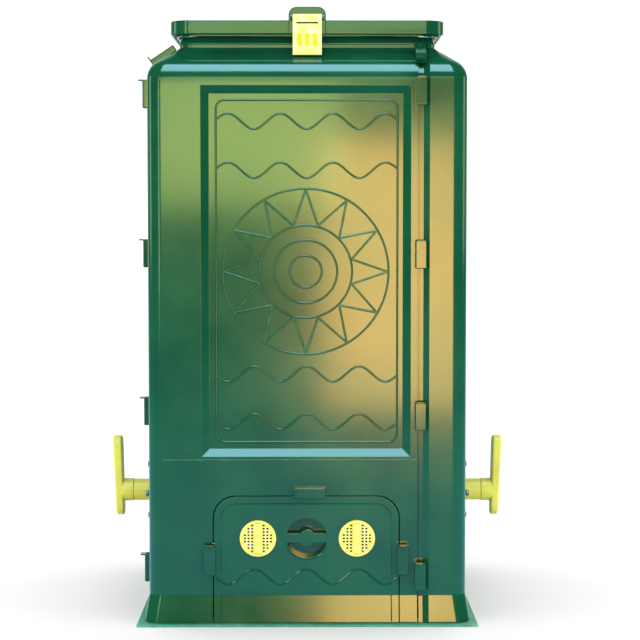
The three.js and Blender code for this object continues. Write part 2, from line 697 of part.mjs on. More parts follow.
// The lid: a shallow tray turned over, ribs that rest on the collar, the front lug with the latch's ears, and one
// knuckle for each hinge.
function lidPanel() {
  const outside = roundedStack([[LID_HALF, LID_Z], [LID_HALF, LID_TOP]], LID_CORNER);
  const skin = LID_HALF - LID_SKIN;
  const inside = roundedStack([[skin, LID_Z - PAST], [skin, LID_TOP - LID_SKIN]], LID_CORNER - LID_SKIN);
  const ribOut = roundedStack([[LID_RIB_HALF, COLLAR_TOP + GAP], [LID_RIB_HALF, LID_TOP - JOIN]], LID_CORNER);
  const ribIn = roundedStack(
    [[LID_RIB_HALF - LID_SKIN, COLLAR_TOP - PAST], [LID_RIB_HALF - LID_SKIN, LID_TOP - LID_SKIN]],
    LID_CORNER - LID_SKIN,
  );
  let made = outside.subtract(inside).add(ribOut.subtract(ribIn));
  const lug = roundedRectangle(
    -LUG_PLATE_WIDTH / 2,
    LUG_PLATE_WIDTH / 2,
    LID_Z,
    LID_TOP + LUG_PLATE_RISE,
    LUG_PLATE_RADIUS,
    0,
  );
  made = made.add(extruded(lug, "y", -LID_HALF - LUG_PLATE_THICKNESS, -LID_HALF + JOIN));
  for (const side of [-1, 1]) {
    const near = LATCH_WIDTH / 2 + GAP;
    const from = side < 0 ? -near - EAR_THICKNESS : near;
    const to = from + EAR_THICKNESS;
    const ear = rod("x", LATCH_KNUCKLE_RADIUS, from, to, [LATCH_Y, LATCH_Z], FINE_SEGMENTS);
    const arm = block(
      [from, to],
      [LATCH_Y, -LID_HALF],
      [LATCH_Z - LATCH_KNUCKLE_RADIUS, LATCH_Z + LATCH_KNUCKLE_RADIUS],
    );
    const x = side * HINGE_X;
    const low = x - KNUCKLE_LENGTH / 2 + GAP;
    const high = x + KNUCKLE_LENGTH / 2 - GAP;
    const strap = block([low, high], [LID_HALF - JOIN, HINGE_Y], [HINGE_Z, HINGE_Z + HINGE_RADIUS]);
    made = made.add(ear).add(arm).add(strap).add(knuckle(low, high)).subtract(hingeBore(x));
  }
  const pinBore = rod(
    "x",
    LATCH_PIN_RADIUS + GAP,
    -LUG_PLATE_WIDTH,
    LUG_PLATE_WIDTH,
    [LATCH_Y, LATCH_Z],
    FINE_SEGMENTS,
  );
  return made.subtract(pinBore);
}

// The latch in its own frame, the pin's axis at the origin: a plate hung from a full-width knuckle, a slot below it,
// three finger hollows and a nose that reaches in below the catch.
function latch() {
  const half = LATCH_WIDTH / 2;
  const front = -LATCH_KNUCKLE_RADIUS;
  const noseTop = NOSE_TOP - LATCH_Z;
  const noseReach = -NECK_HALF - CATCH_REACH - CATCH_CLEARANCE - LATCH_Y;
  let made = rod("x", LATCH_KNUCKLE_RADIUS, -half, half);
  made = made.add(block([-half, half], [front, front + LATCH_THICKNESS], [-LATCH_LENGTH, 0]));
  made = made.add(
    block(
      [-LATCH_NOSE_WIDTH / 2, LATCH_NOSE_WIDTH / 2],
      [front + JOIN, noseReach],
      [noseTop - LATCH_NOSE_HEIGHT, noseTop],
    ),
  );
  made = made.subtract(rod("x", LATCH_PIN_RADIUS + GAP, -half - PAST, half + PAST, [0, 0], FINE_SEGMENTS));
  const slot = block(
    [-LATCH_SLOT_WIDTH / 2, LATCH_SLOT_WIDTH / 2],
    [front - PAST, front + LATCH_THICKNESS + PAST],
    [-LATCH_SLOT_DROP - LATCH_SLOT_HEIGHT, -LATCH_SLOT_DROP],
  );
  made = made.subtract(slot);
  for (let column = 0; column < LATCH_HOLLOWS; column++) {
    const x = (column - (LATCH_HOLLOWS - 1) / 2) * LATCH_HOLLOW_PITCH;
    const low = LATCH_HOLLOW_LIFT - LATCH_LENGTH;
    const hollow = block(
      [x - LATCH_HOLLOW_WIDTH / 2, x + LATCH_HOLLOW_WIDTH / 2],
      [front - PAST, front + LATCH_HOLLOW_DEPTH],
      [low, low + LATCH_HOLLOW_HEIGHT],
    );
    made = made.subtract(hollow);
  }
  return made;
}

// ---- Mixer ----

// Where the flange's screws stand around the shaft, as [across, up].
function screwPlaces() {
  const places = [];
  for (let index = 0; index < SCREW_COUNT; index++) {
    const turn = (index / SCREW_COUNT) * 2 * Math.PI;
    places.push([SCREW_CIRCLE * Math.sin(turn), -SCREW_CIRCLE * Math.cos(turn)]);
  }
  return places;
}

// The bearing flange in the shaft's frame, the wall's face at Y = 0 and -Y outwards.
function flange() {
  const bore = rod("y", BUSH_RADIUS + GAP, -BEYOND, BEYOND);
  let made = rod("y", FLANGE_RADIUS, -FLANGE_THICKNESS, -GAP).add(rod("y", BOSS_RADIUS, -BOSS_PROUD, -GAP));
  for (const at of screwPlaces()) {
    made = made.add(rod("y", SCREW_BOSS_RADIUS, -BOSS_PROUD, -GAP, at, FINE_SEGMENTS));
    made = made.subtract(rod("y", SCREW_RADIUS + SCREW_CLEARANCE, -BEYOND, BEYOND, at, FINE_SEGMENTS));
  }
  return made.subtract(bore);
}

// A flange screw in its own frame: the underside of its head at Y = 0.
function flangeScrew() {
  const length = BOSS_PROUD + WALL + SCREW_INSIDE;
  const head = rod("y", SCREW_HEAD_RADIUS, -SCREW_HEAD_HEIGHT - GAP, -GAP, [0, 0], FINE_SEGMENTS);
  return head.add(rod("y", SCREW_RADIUS, -JOIN, length, [0, 0], FINE_SEGMENTS));
}

// The bush in the shaft's frame, from inside the wall to the end of the flange's boss.
function bush() {
  return rod("y", BUSH_RADIUS, -BOSS_PROUD, BUSH_INSIDE).subtract(
    rod("y", SHAFT_RADIUS + SHAFT_CLEARANCE, -BEYOND, BEYOND),
  );
}

// The cross shaft along X, with a threaded hole's bore in each end for the lever's screw.
function crossShaft() {
  const end = LEVER_X + LEVER_FOOT_THICKNESS / 2;
  let made = rod("x", SHAFT_RADIUS, -end, end);
  for (const side of [-1, 1]) {
    const inner = end - END_SCREW_LENGTH;
    const outer = end + PAST;
    const [from, to] = side < 0 ? [-outer, -inner] : [inner, outer];
    made = made.subtract(rod("x", END_SCREW_RADIUS + GAP, from, to, [0, 0], FINE_SEGMENTS));
  }
  return made;
}

// A tine in its own frame: an eye around the shaft with an arm to each side, tapered to its ends.
function tine() {
  const eye = SHAFT_RADIUS + GAP + TINE_EYE_WALL;
  const half = TINE_THICKNESS / 2;
  const root = TINE_WIDTH;
  const tip = TINE_WIDTH / 2;
  const arms = new THREE.Shape([
    new THREE.Vector2(-tip, -TINE_REACH),
    new THREE.Vector2(tip, -TINE_REACH),
    new THREE.Vector2(root, 0),
    new THREE.Vector2(tip, TINE_REACH),
    new THREE.Vector2(-tip, TINE_REACH),
    new THREE.Vector2(-root, 0),
  ]);
  const bore = rod("x", SHAFT_RADIUS + GAP, -BEYOND, BEYOND);
  return rod("x", eye, -half, half).add(extruded(arms, "x", -half, half)).subtract(bore);
}

// The sleeve between the flange and the lever's hub, in the shaft's frame.
function sleeve() {
  return rod("x", SLEEVE_RADIUS, SLEEVE_X, SLEEVE_X + SLEEVE_LENGTH).subtract(
    rod("x", SHAFT_RADIUS + GAP, 0, BEYOND),
  );
}

// The lever at +X in the shaft's frame: a hub, and a bar that leans away from the bin towards its top.
function lever() {
  const half = LEVER_WIDTH / 2;
  const side = new THREE.Shape();
  side.moveTo(LEVER_X, -LEVER_DROP);
  side.lineTo(LEVER_X + LEVER_FOOT_THICKNESS, -LEVER_DROP);
  side.lineTo(LEVER_X + LEVER_LEAN + LEVER_THICKNESS, LEVER_RISE);
  side.lineTo(LEVER_X + LEVER_LEAN, LEVER_RISE);
  side.closePath();
  const front = roundedRectangle(-half, half, -LEVER_DROP, LEVER_RISE, half);
  const bar = extruded(side, "y", -half, half).intersect(extruded(front, "x", 0, 2 * BEYOND));
  const shaftHole = rod("x", SHAFT_RADIUS + GAP, 0, LEVER_X + LEVER_FOOT_THICKNESS / 2 + GAP);
  const headHole = rod("x", END_SCREW_HEAD_RADIUS + GAP, leverSeat(), BEYOND + LEVER_X, [0, 0], FINE_SEGMENTS);
  const screwHole = rod("x", END_SCREW_RADIUS + GAP, LEVER_X, BEYOND + LEVER_X, [0, 0], FINE_SEGMENTS);
  const hub = rod("x", LEVER_HUB_RADIUS, HUB_X, LEVER_X + JOIN);
  return bar.add(hub).subtract(shaftHole).subtract(headHole).subtract(screwHole);
}

// Where the head of the lever's screw seats, along X.
function leverSeat() {
  return LEVER_X + LEVER_FOOT_THICKNESS / 2 + GAP + WALL / 2;
}

// The screw that holds a lever on the shaft, at +X in the shaft's frame.
function endScrew() {
  const seat = leverSeat() + GAP;
  const head = rod("x", END_SCREW_HEAD_RADIUS, seat, seat + END_SCREW_HEAD_HEIGHT, [0, 0], FINE_SEGMENTS);
  const shank = rod("x", END_SCREW_RADIUS, seat - END_SCREW_LENGTH + WALL, seat + JOIN, [0, 0], FINE_SEGMENTS);
  return head.add(shank);
}

// ---- Assembly ----
const composter = new THREE.Group();
composter.add(piece("base_grid", baseGrid(), GRID_GREEN));

const body = new THREE.Group();
body.position.z = FOOT_Z;
composter.add(body);

const SIDES = ["front", "right", "rear", "left"];
const PANELS = { front: frontPanel(), right: sidePanel(), rear: wallPanel(), left: sidePanel() };
const SEAM_CLIP = clip(CLIP_LENGTH);
const HALF_TURN = new THREE.Matrix4().makeRotationY(2 * QUARTER);

// Puts a mesh where a matrix says.
function placed(mesh, matrix) {
  matrix.decompose(mesh.position, mesh.quaternion, mesh.scale);
  return mesh;
}

SIDES.forEach((name, index) => {
  const side = new THREE.Group();
  side.rotation.z = index * QUARTER;
  side.add(piece(`${name}_panel`, PANELS[name], GREEN));
  for (const { name: station, place } of clipPlaces()) {
    const clipMesh = piece(`${name}_seam_clip_${station}`, SEAM_CLIP, GREEN);
    side.add(placed(clipMesh, station === "shoulder" ? place.multiply(HALF_TURN) : place));
  }
  body.add(side);

  if (name === "left" || name === "right") {
    const bearing = new THREE.Group();
    bearing.position.set(0, -BODY_HALF, SHAFT_Z);
    bearing.add(piece(`${name}_bearing_flange`, flange(), GREEN));
    bearing.add(piece(`${name}_shaft_bush`, bush(), BUSH_GREY));
    screwPlaces().forEach(([across, up], number) => {
      const screw = piece(`${name}_flange_screw_${number + 1}`, flangeScrew(), STEEL);
      screw.position.set(across, -BOSS_PROUD, up);
      bearing.add(screw);
    });
    side.add(bearing);
  }
});

body.add(piece("take_out_door", doorPanel(), GREEN));
for (const { name, place } of doorClipPlaces()) {
  body.add(placed(piece(`door_clip_${name}`, clip(DOOR_CLIP_LENGTH), GREEN), place));
}
for (const [name, side] of [["left", -1], ["right", 1]]) {
  const dial = piece(`door_vent_${name}`, ventDial(), YELLOW);
  dial.position.set(side * VENT_X, -BODY_HALF, VENT_Z);
  body.add(dial);
}

body.add(piece("top_collar", topCollar(), GREEN));
body.add(piece("lid", lidPanel(), GREEN));
for (const [name, side] of [["left", -1], ["right", 1]]) {
  const pin = rod("x", HINGE_PIN_RADIUS, -HINGE_PIN_HALF, HINGE_PIN_HALF, [0, 0], FINE_SEGMENTS);
  const pinMesh = piece(`lid_hinge_pin_${name}`, pin, STEEL);
  pinMesh.position.set(side * HINGE_X, HINGE_Y, HINGE_Z);
  body.add(pinMesh);
}
const latchGroup = new THREE.Group();
latchGroup.position.set(0, LATCH_Y, LATCH_Z);
latchGroup.add(piece("lid_latch", latch(), YELLOW));
const latchPinHalf = LATCH_WIDTH / 2 + EAR_THICKNESS;
const latchPin = rod("x", LATCH_PIN_RADIUS, -latchPinHalf, latchPinHalf, [0, 0], FINE_SEGMENTS);
latchGroup.add(piece("lid_latch_pin", latchPin, STEEL));
body.add(latchGroup);

const mixer = new THREE.Group();
mixer.position.z = SHAFT_Z;
mixer.add(piece("cross_shaft", crossShaft(), STEEL));
for (let index = 0; index < TINE_COUNT; index++) {
  const mesh = piece(`mixing_tine_${index + 1}`, tine(), GREEN);
  mesh.position.x = (index - (TINE_COUNT - 1) / 2) * TINE_PITCH;
  mesh.rotation.x = TINE_TURN + index * QUARTER;
  mixer.add(mesh);
}
for (const [name, side] of [["left", -1], ["right", 1]]) {
  const end = new THREE.Group();
  end.rotation.z = side < 0 ? 2 * QUARTER : 0;
  end.add(piece(`${name}_lever_sleeve`, sleeve(), YELLOW));
  end.add(piece(`${name}_lever`, lever(), YELLOW));
  end.add(piece(`${name}_lever_screw`, endScrew(), STEEL));
  mixer.add(end);
}
body.add(mixer);

export default composter;
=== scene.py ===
"""Looks of an upright garden composter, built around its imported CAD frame.

Metres, +Z up, the front faces -Y.
"""
import json
import math

import bmesh
import bpy
from mathutils import Matrix, Vector


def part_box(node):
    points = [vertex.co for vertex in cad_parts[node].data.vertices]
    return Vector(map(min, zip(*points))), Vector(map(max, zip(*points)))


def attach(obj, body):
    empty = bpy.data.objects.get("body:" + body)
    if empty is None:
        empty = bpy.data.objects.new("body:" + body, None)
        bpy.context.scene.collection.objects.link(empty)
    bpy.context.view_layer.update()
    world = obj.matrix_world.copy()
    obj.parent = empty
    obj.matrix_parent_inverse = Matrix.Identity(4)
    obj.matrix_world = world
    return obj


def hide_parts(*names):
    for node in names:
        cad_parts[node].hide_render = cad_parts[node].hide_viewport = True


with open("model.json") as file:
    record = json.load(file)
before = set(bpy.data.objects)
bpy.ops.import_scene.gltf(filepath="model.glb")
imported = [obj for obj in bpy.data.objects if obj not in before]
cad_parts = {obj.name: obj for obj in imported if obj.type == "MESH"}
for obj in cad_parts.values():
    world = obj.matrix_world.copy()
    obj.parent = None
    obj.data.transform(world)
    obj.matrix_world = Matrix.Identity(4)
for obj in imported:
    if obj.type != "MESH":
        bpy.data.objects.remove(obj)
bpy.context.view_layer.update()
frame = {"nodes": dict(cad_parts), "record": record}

bl_info = {
    "name": "Garden composter",
    "version": (1, 0, 0),
    "blender": (4, 5, 0),
    "location": "View3D > Sidebar > Composter",
    "description": "Builds the panels, lid, door, clips, vents, levers and base of a square garden composter",
    "category": "Object",
}

MM = 0.001
QUARTER = math.pi / 2

# Places that the frame gives.
FOOT_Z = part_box("front_panel")[0].z
WALL_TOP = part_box("rear_panel")[1].z
BASE_LOW, BASE_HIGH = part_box("base_grid")
COLLAR_LOW, COLLAR_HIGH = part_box("top_collar")
LID_LOW, LID_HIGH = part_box("lid")
LATCH_LOW, LATCH_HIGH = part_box("lid_latch")
DOOR_LOW, DOOR_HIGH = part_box("take_out_door")
SHAFT_LOW, SHAFT_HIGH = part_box("cross_shaft")
SHAFT_Z = (SHAFT_LOW.z + SHAFT_HIGH.z) / 2
SIDES = ("front", "right", "rear", "left")
CLIP_STATIONS = ("foot", "lower", "middle", "upper", "shoulder")

# Shape of the walls, measured up from their foot.
WALL_HALF = 290 * MM
CORNER_RADIUS = 28 * MM
WALL_THICKNESS = 4 * MM
FLARE = 8 * MM
FLARE_TOP = 3 * MM
FLARE_RISE = 47 * MM
SHOULDER_START = 988 * MM
SHOULDER_RADIUS = 40 * MM
SHOULDER_SLOPE = math.radians(34)
NECK_HALF = 234 * MM
SEAM_X = 200 * MM
SEAM_GROOVE = 21 * MM
SEAM_BEVEL = 11 * MM
LAP_DEPTH = 4.5 * MM
LAP_UNDER = 9 * MM
LAP_GAP = 2.8 * MM
LAP_GAP_DEPTH = 2.6 * MM
FIELD_LEFT = -192 * MM
FIELD_RIGHT = 187 * MM
FIELD_BOTTOM = 304 * MM
FIELD_TOP = 975 * MM
FIELD_BEVEL = 14 * MM
FIELD_DEPTH = 9 * MM
BAND_Z = 298 * MM
BAND_LEFT = -262 * MM
BAND_RIGHT = 199 * MM
LINES_LEFT = -165 * MM
LINES_RIGHT = 163 * MM
LINES_BOTTOM = 330 * MM
LINES_TOP = 949 * MM
WAVES_WITH_MIDDLE_DOWN = (911 * MM, 823 * MM)
WAVES_WITH_MIDDLE_UP = (454 * MM, 367 * MM)
SUN_X = -2.9 * MM
SUN_HEIGHT = 640 * MM
SUN_RINGS = (84 * MM, 57 * MM, 29 * MM)
SUN_VALLEY = 86 * MM
WALL_SHARP_FROM = 20
RIDGE_SHARP_FROM = 50

# Shape of the door, its grip and its vents.
DOOR_CORNER = 40 * MM
DOOR_OPENING_GROWTH = 1.3 * MM
DOOR_OUTLINE_GROWTH = -0.7 * MM
DOOR_WAVE_HEIGHT = 84 * MM
FITTING_HEIGHT = 155 * MM
GRIP_X = -1.5 * MM
GRIP_RADIUS = 37 * MM
GRIP_DEPTH = 24 * MM
GRIP_BAR_HALF = 8 * MM
GRIP_BULGE_RADIUS = 15 * MM
VENT_X = 90 * MM
VENT_RADIUS = 33 * MM
VENT_BAR_HALF = 7.25 * MM
VENT_COLUMNS = 3
VENT_COLUMN_PITCH = 6.6 * MM
VENT_ROWS_EACH_WAY = 4
VENT_ROW_PITCH = 5.9 * MM

# Shape of the clips.
CLIP_HALF = 10 * MM
CLIP_HEIGHT = 13 * MM
SEAM_CLIP_LENGTH = 52 * MM
DOOR_CLIP_LENGTH = 57 * MM
CLIP_TAB_REACH = 21.5 * MM
CLIP_TAB_THICKNESS = 2.5 * MM
SHOULDER_CLIP_INSET = 6 * MM

# Shape of the collar, the lid and its hinges.
COLLAR_HEIGHT = 14 * MM
MOUTH_HALF = 221 * MM
SKIRT_HALF = 225 * MM
LID_HALF = 250 * MM
LID_HEIGHT = 25 * MM
LID_CORNER = 36 * MM
LUG_HALF = 34 * MM
LUG_CORNER = 15 * MM
HINGE_X = 150 * MM
HINGE_PITCH = 24 * MM
HINGE_HALF = 11.7 * MM
HINGE_RADIUS = 7 * MM
HINGE_BORE = 3.3 * MM

# Shape of the latch, the levers, the flanges and the base.
LATCH_POCKET_PITCH = 14 * MM
LATCH_KNUCKLE_RADIUS = 6 * MM
LEVER_HALF = 20 * MM
LEVER_HUB_RADIUS = 22.2 * MM
LEVER_HUB_LENGTH = 19 * MM
LEVER_BORE = 14.3 * MM
BUSH_HOLE_RADIUS = 18.6 * MM
FLANGE_RADIUS = 62 * MM
FLANGE_REACH = 19 * MM
FLANGE_RIBS = 8
FLANGE_BOSS_RADIUS = 28 * MM
SCREW_COUNT = 4
SCREW_CIRCLE_RADIUS = 50.5 * MM
SCREW_BOSS_RADIUS = 9 * MM
SCREW_RADIUS = 6 * MM
SCREW_HEIGHT = 6.2 * MM
END_SCREW_RADIUS = 8 * MM
END_SCREW_HEIGHT = 5 * MM
BASE_THICKNESS = 4 * MM
BASE_RIB_HALF = 289 * MM
BASE_RIB_THICKNESS = 4 * MM

# Stage.
CAMERA_HEIGHT = 0.74
CAMERA_DISTANCE = 3.2
CAMERA_DIP = math.radians(3.27)
CAMERA_TURN = math.radians(0.41)
CAMERA_LENS = 99.71
PANEL_DISTANCE = 3.0


# ---------------------------------------------------------------- settings


def length(name, description, default, lowest=0.0005, highest=2.0):
    return bpy.props.FloatProperty(
        name=name,
        description=description,
        default=default,
        min=lowest,
        max=highest,
        subtype="DISTANCE",
        unit="LENGTH",
    )


def colour(name, description, default):
    return bpy.props.FloatVectorProperty(
        name=name, description=description, default=default, size=3, min=0.0, max=1.0, subtype="COLOR"
    )


class ComposterShape(bpy.types.PropertyGroup):
    ridge_radius: length("Ridge radius", "Half the width of a moulded ridge line", 2.3 * MM)
    ridge_height: length("Ridge height", "How far a ridge line stands out of its surface", 1.5 * MM)
    sun_radius: length("Sun circle", "Radius of the circle around the sun", 150 * MM)
    sun_rays: bpy.props.IntProperty(
        name="Sun rays", description="Number of rays of the sun", default=12, min=6, max=24
    )
    wave_height: length("Wave height", "From the middle of a wave line to its crest", 14 * MM)
    wave_length: length("Wave length", "From crest to crest of a wave line", 95 * MM)
    edge_round: length("Edge rounding", "Radius of the moulded outer edges", 2.5 * MM)
    hole_pitch: length("Base hole pitch", "From hole to hole in the base grid", 15.5 * MM)


class ComposterColours(bpy.types.PropertyGroup):
    green: colour("Green", "Moulded green of the walls, lid and door", (0.003, 0.088, 0.034))
    yellow: colour("Yellow", "Lemon yellow of the levers", (0.98, 0.90, 0.12))
    # Painted shade: this darker yellow colours the floors of the latch's three finger pockets and stands in for
    # the shade inside them.
    pocket_shade_yellow: colour("Deep yellow", "Deeper yellow of the latch's finger pads", (0.72, 0.70, 0.01))
    pale_yellow: colour("Pale yellow", "Paler yellow of the latch and the vents", (0.98, 0.93, 0.18))
    grid: colour("Grid green", "Lighter green of the base grid", (0.045, 0.34, 0.2))
    steel: colour("Steel", "Plated steel of the shaft, pins and screws", (0.56, 0.57, 0.58))
    bush: colour("Bush grey", "Dark grey of the shaft bushes", (0.05, 0.05, 0.055))
    floor: colour("Floor", "Pale floor", (0.95, 0.95, 0.95))


# ---------------------------------------------------------------- modelling helpers


def only(obj):
    """Makes obj the one selected and active object."""
    bpy.ops.object.select_all(action="DESELECT")
    obj.select_set(True)
    bpy.context.view_layer.objects.active = obj


def made(name):
    """Names the primitive that was just added and puts its place into its mesh."""
    obj = bpy.context.object
    bpy.ops.object.transform_apply(location=True, rotation=True, scale=True)
    obj.name = name
    obj.data.name = name
    return obj


def block(name, low, high):
    """A block between two corners."""
    low, high = Vector(low), Vector(high)
    bpy.ops.object.select_all(action="DESELECT")
    bpy.ops.mesh.primitive_cube_add(size=1, location=(low + high) / 2, scale=high - low)
    return made(name)


def rod(name, axis, radius, start, end, at, sides=48):
    """A cylinder along an axis between two places on it; at gives the other two coordinates in order."""
    middle = (start + end) / 2
    place = {"X": (middle, *at), "Y": (at[0], middle, at[1]), "Z": (*at, middle)}[axis]
    turn = {"X": (0, QUARTER, 0), "Y": (QUARTER, 0, 0), "Z": (0, 0, 0)}[axis]
    bpy.ops.object.select_all(action="DESELECT")
    bpy.ops.mesh.primitive_cylinder_add(
        vertices=sides, radius=radius, depth=end - start, location=place, rotation=turn
    )
    return made(name)


class Editing:
    """Edit mode on one object, with parts picked by a test on each of them."""

    def __init__(self, obj, mode="FACE"):
        self.obj = obj
        self.mode = mode

    def __enter__(self):
        only(self.obj)
        bpy.ops.object.mode_set(mode="EDIT")
        bpy.ops.mesh.select_mode(type=self.mode)
        bpy.ops.mesh.select_all(action="DESELECT")
        return self

    def __exit__(self, *problem):
        bpy.ops.object.mode_set(mode="OBJECT")

    def pick(self, test):
        bpy.ops.mesh.select_all(action="DESELECT")
        mesh = bmesh.from_edit_mesh(self.obj.data)
        parts = {"FACE": mesh.faces, "EDGE": mesh.edges, "VERT": mesh.verts}[self.mode]
        for part in parts:
            if test(part):
                part.select_set(True)
        bmesh.update_edit_mesh(self.obj.data)


def middle_of(part):
    """The middle of an edge or a face."""
    if hasattr(part, "calc_center_median"):
        return part.calc_center_median()
    return (part.verts[0].co + part.verts[1].co) / 2


def modify(obj, kind, **values):
    """Adds a modifier, sets it and applies it."""
    only(obj)
    modifier = obj.modifiers.new(kind.lower(), kind)
    for key, value in values.items():
        setattr(modifier, key, value)
    bpy.ops.object.modifier_apply(modifier=modifier.name)
    return obj


def cut(obj, tool, operation="DIFFERENCE"):
    """Cuts, joins or meets obj with a tool, which is used up."""
    modify(obj, "BOOLEAN", object=tool, operation=operation, solver="EXACT")
    bpy.data.objects.remove(tool)
    return obj


def rounded(obj, width, segments=3, angle=30):
    """Rounds the edges sharper than an angle."""
    return modify(
        obj,
        "BEVEL",
        width=width,
        segments=segments,
        limit_method="ANGLE",
        angle_limit=math.radians(angle),
        use_clamp_overlap=True,
        harden_normals=False,
    )


def joined(name, parts):
    """Joins pieces of one moulding into one object."""
    only(parts[0])
    for part in parts:
        part.select_set(True)
    if len(parts) > 1:
        bpy.ops.object.join()
    obj = bpy.context.object
    obj.name = name
    obj.data.name = name
    return obj


def shaded(obj, angle):
    """Shades smoothly over the edges flatter than an angle."""
    only(obj)
    bpy.ops.object.shade_smooth_by_angle(angle=math.radians(angle))
    return obj


def weighted(obj):
    """Lets the large faces of a shaded piece stay flat."""
    return modify(obj, "WEIGHTED_NORMAL", keep_sharp=True, weight=100)


def smooth(obj, angle=35):
    return weighted(shaded(obj, angle))


def outwards(obj):
    """Merges doubles and turns every face outwards."""
    with Editing(obj):
        bpy.ops.mesh.select_all(action="SELECT")
        bpy.ops.mesh.remove_doubles(threshold=0.01 * MM)
        bpy.ops.mesh.normals_make_consistent(inside=False)
    return obj


def copied(obj, name, place):
    """A copy with its own mesh, moved by a matrix."""
    only(obj)
    bpy.ops.object.duplicate(linked=False)
    copy = bpy.context.object
    copy.name = name
    copy.data.name = name
    copy.data.transform(place)
    return copy


def quarter_turned(obj, name, quarters):
    return copied(obj, name, Matrix.Rotation(quarters * QUARTER, 4, "Z"))


def ridge(points, radius, closed=False, sides=2):
    """A round moulded line along points, as a mesh tube."""
    bpy.ops.object.select_all(action="DESELECT")
    bpy.ops.curve.primitive_bezier_curve_add(location=(0, 0, 0))
    line = bpy.context.object
    line.data.splines.clear()
    spline = line.data.splines.new("POLY")
    spline.points.add(len(points) - 1)
    for point, place in zip(spline.points, points):
        point.co = (*place, 1.0)
    spline.use_cyclic_u = closed
    line.data.bevel_depth = radius
    line.data.bevel_resolution = sides
    line.data.use_fill_caps = True
    only(line)
    bpy.ops.object.convert(target="MESH")
    return outwards(bpy.context.object)


def arc(centre_x, centre_z, radius, start, end, y, steps=8):
    """Points of an arc in the front view, between two angles."""
    points = []
    for step in range(steps + 1):
        angle = start + (end - start) * step / steps
        points.append((centre_x + radius * math.cos(angle), y, centre_z + radius * math.sin(angle)))
    return points


def rounded_outline(left, right, bottom, top, radius, y):
    """A closed rounded rectangle in the front view."""
    points = []
    corners = (
        (right, bottom, -1, -1, 1),
        (right, top, 0, -1, -1),
        (left, top, 1, 1, -1),
        (left, bottom, 2, 1, 1),
    )
    for x, z, turn, inward_x, inward_z in corners:
        points += arc(
            x + inward_x * radius, z + inward_z * radius, radius, turn * QUARTER, (turn + 1) * QUARTER, y
        )
    return points


def wave(left, right, z, height, wave_length, y, steps_a_wave=20):
    """A wave line with a crest at its middle, or a trough if the height is negative."""
    count = int((right - left) / wave_length * steps_a_wave)
    middle = (left + right) / 2
    points = []
    for step in range(count + 1):
        x = left + (right - left) * step / count
        points.append((x, y, z + height * math.cos(2 * math.pi * (x - middle) / wave_length)))
    return points


def rounded_tower(name, levels, corner_radius, corner_segments=8):
    """A rounded square drawn up through levels of half-width and height."""
    half, z = levels[0]
    bpy.ops.object.select_all(action="DESELECT")
    bpy.ops.mesh.primitive_plane_add(size=2 * half, location=(0, 0, z))
    tower = made(name)
    with Editing(tower, "VERT"):
        bpy.ops.mesh.select_all(action="SELECT")
        bpy.ops.mesh.bevel(offset=corner_radius, segments=corner_segments, affect="VERTICES", profile=0.5)
        bpy.ops.mesh.select_mode(type="FACE")
        bpy.ops.mesh.select_all(action="SELECT")
        for next_half, next_z in levels[1:]:
            bpy.ops.mesh.extrude_region_move(TRANSFORM_OT_translate={"value": (0, 0, next_z - z)})
            share = next_half / half
            bpy.ops.transform.resize(value=(share, share, 1), center_override=(0, 0, next_z))
            half, z = next_half, next_z
        bpy.ops.mesh.select_all(action="SELECT")
        bpy.ops.mesh.normals_make_consistent(inside=False)
    return tower


def finished(obj, body, slot_name, material, *nodes):
    """Gives a piece its material and body, and hides the CAD nodes that it stands for."""
    obj.data.materials.clear()
    obj.data.materials.append(material)
    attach(obj, body)
    if nodes:
        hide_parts(*nodes)
    return obj


# ---------------------------------------------------------------- materials


def node_group(name, inputs, outputs):
    """An empty shader node group with float or colour sockets."""
    group = bpy.data.node_groups.new(name, "ShaderNodeTree")
    for socket, default in inputs:
        made_socket = group.interface.new_socket(socket, in_out="INPUT", socket_type="NodeSocketFloat")
        made_socket.default_value = default
    for socket, kind in outputs:
        group.interface.new_socket(socket, in_out="OUTPUT", socket_type=kind)
    return group, group.nodes.new("NodeGroupInput"), group.nodes.new("NodeGroupOutput")


def noise(nodes, links, coordinates, scale, detail=2.0, scale_from=None):
    texture = nodes.new("ShaderNodeTexNoise")
    texture.inputs["Scale"].default_value = scale
    texture.inputs["Detail"].default_value = detail
    links.new(coordinates, texture.inputs["Vector"])
    if scale_from is not None:
        links.new(scale_from, texture.inputs["Scale"])
    return texture.outputs["Fac"]


def ranged(nodes, links, value, low, high, to_low, to_high):
    """A value's range mapped onto another, clamped."""
    node = nodes.new("ShaderNodeMapRange")
    for socket, number in (("From Min", low), ("From Max", high), ("To Min", to_low), ("To Max", to_high)):
        node.inputs[socket].default_value = number
    links.new(value, node.inputs["Value"])
    return node.outputs["Result"]


def computed(nodes, links, operation, first, second):
    node = nodes.new("ShaderNodeMath")
    node.operation = operation
    node.use_clamp = operation in ("ADD", "SUBTRACT")
    for socket, value in zip(node.inputs, (first, second)):
        if isinstance(value, (int, float)):
            socket.default_value = value
        else:
            links.new(value, socket)
    return node.outputs["Value"]


def moulded_grain_group():
    """Fine moulding grain with a slow waviness, as a height and a mask of the slow part."""
    group, given, out = node_group(
        "moulded_grain",
        (("Grain scale", 1400.0), ("Wave scale", 9.0)),
        (("Height", "NodeSocketFloat"), ("Clouds", "NodeSocketFloat")),
    )
    nodes, links = group.nodes, group.links
    place = nodes.new("ShaderNodeTexCoord").outputs["Object"]
    grain = noise(nodes, links, place, 1400.0, 1.0, given.outputs["Grain scale"])
    waves = noise(nodes, links, place, 9.0, 3.0, given.outputs["Wave scale"])
    fine = computed(nodes, links, "MULTIPLY", grain, 0.25)
    slow = computed(nodes, links, "MULTIPLY", waves, 0.6)
    links.new(computed(nodes, links, "ADD", fine, slow), out.inputs["Height"])
    links.new(waves, out.inputs["Clouds"])
    return group


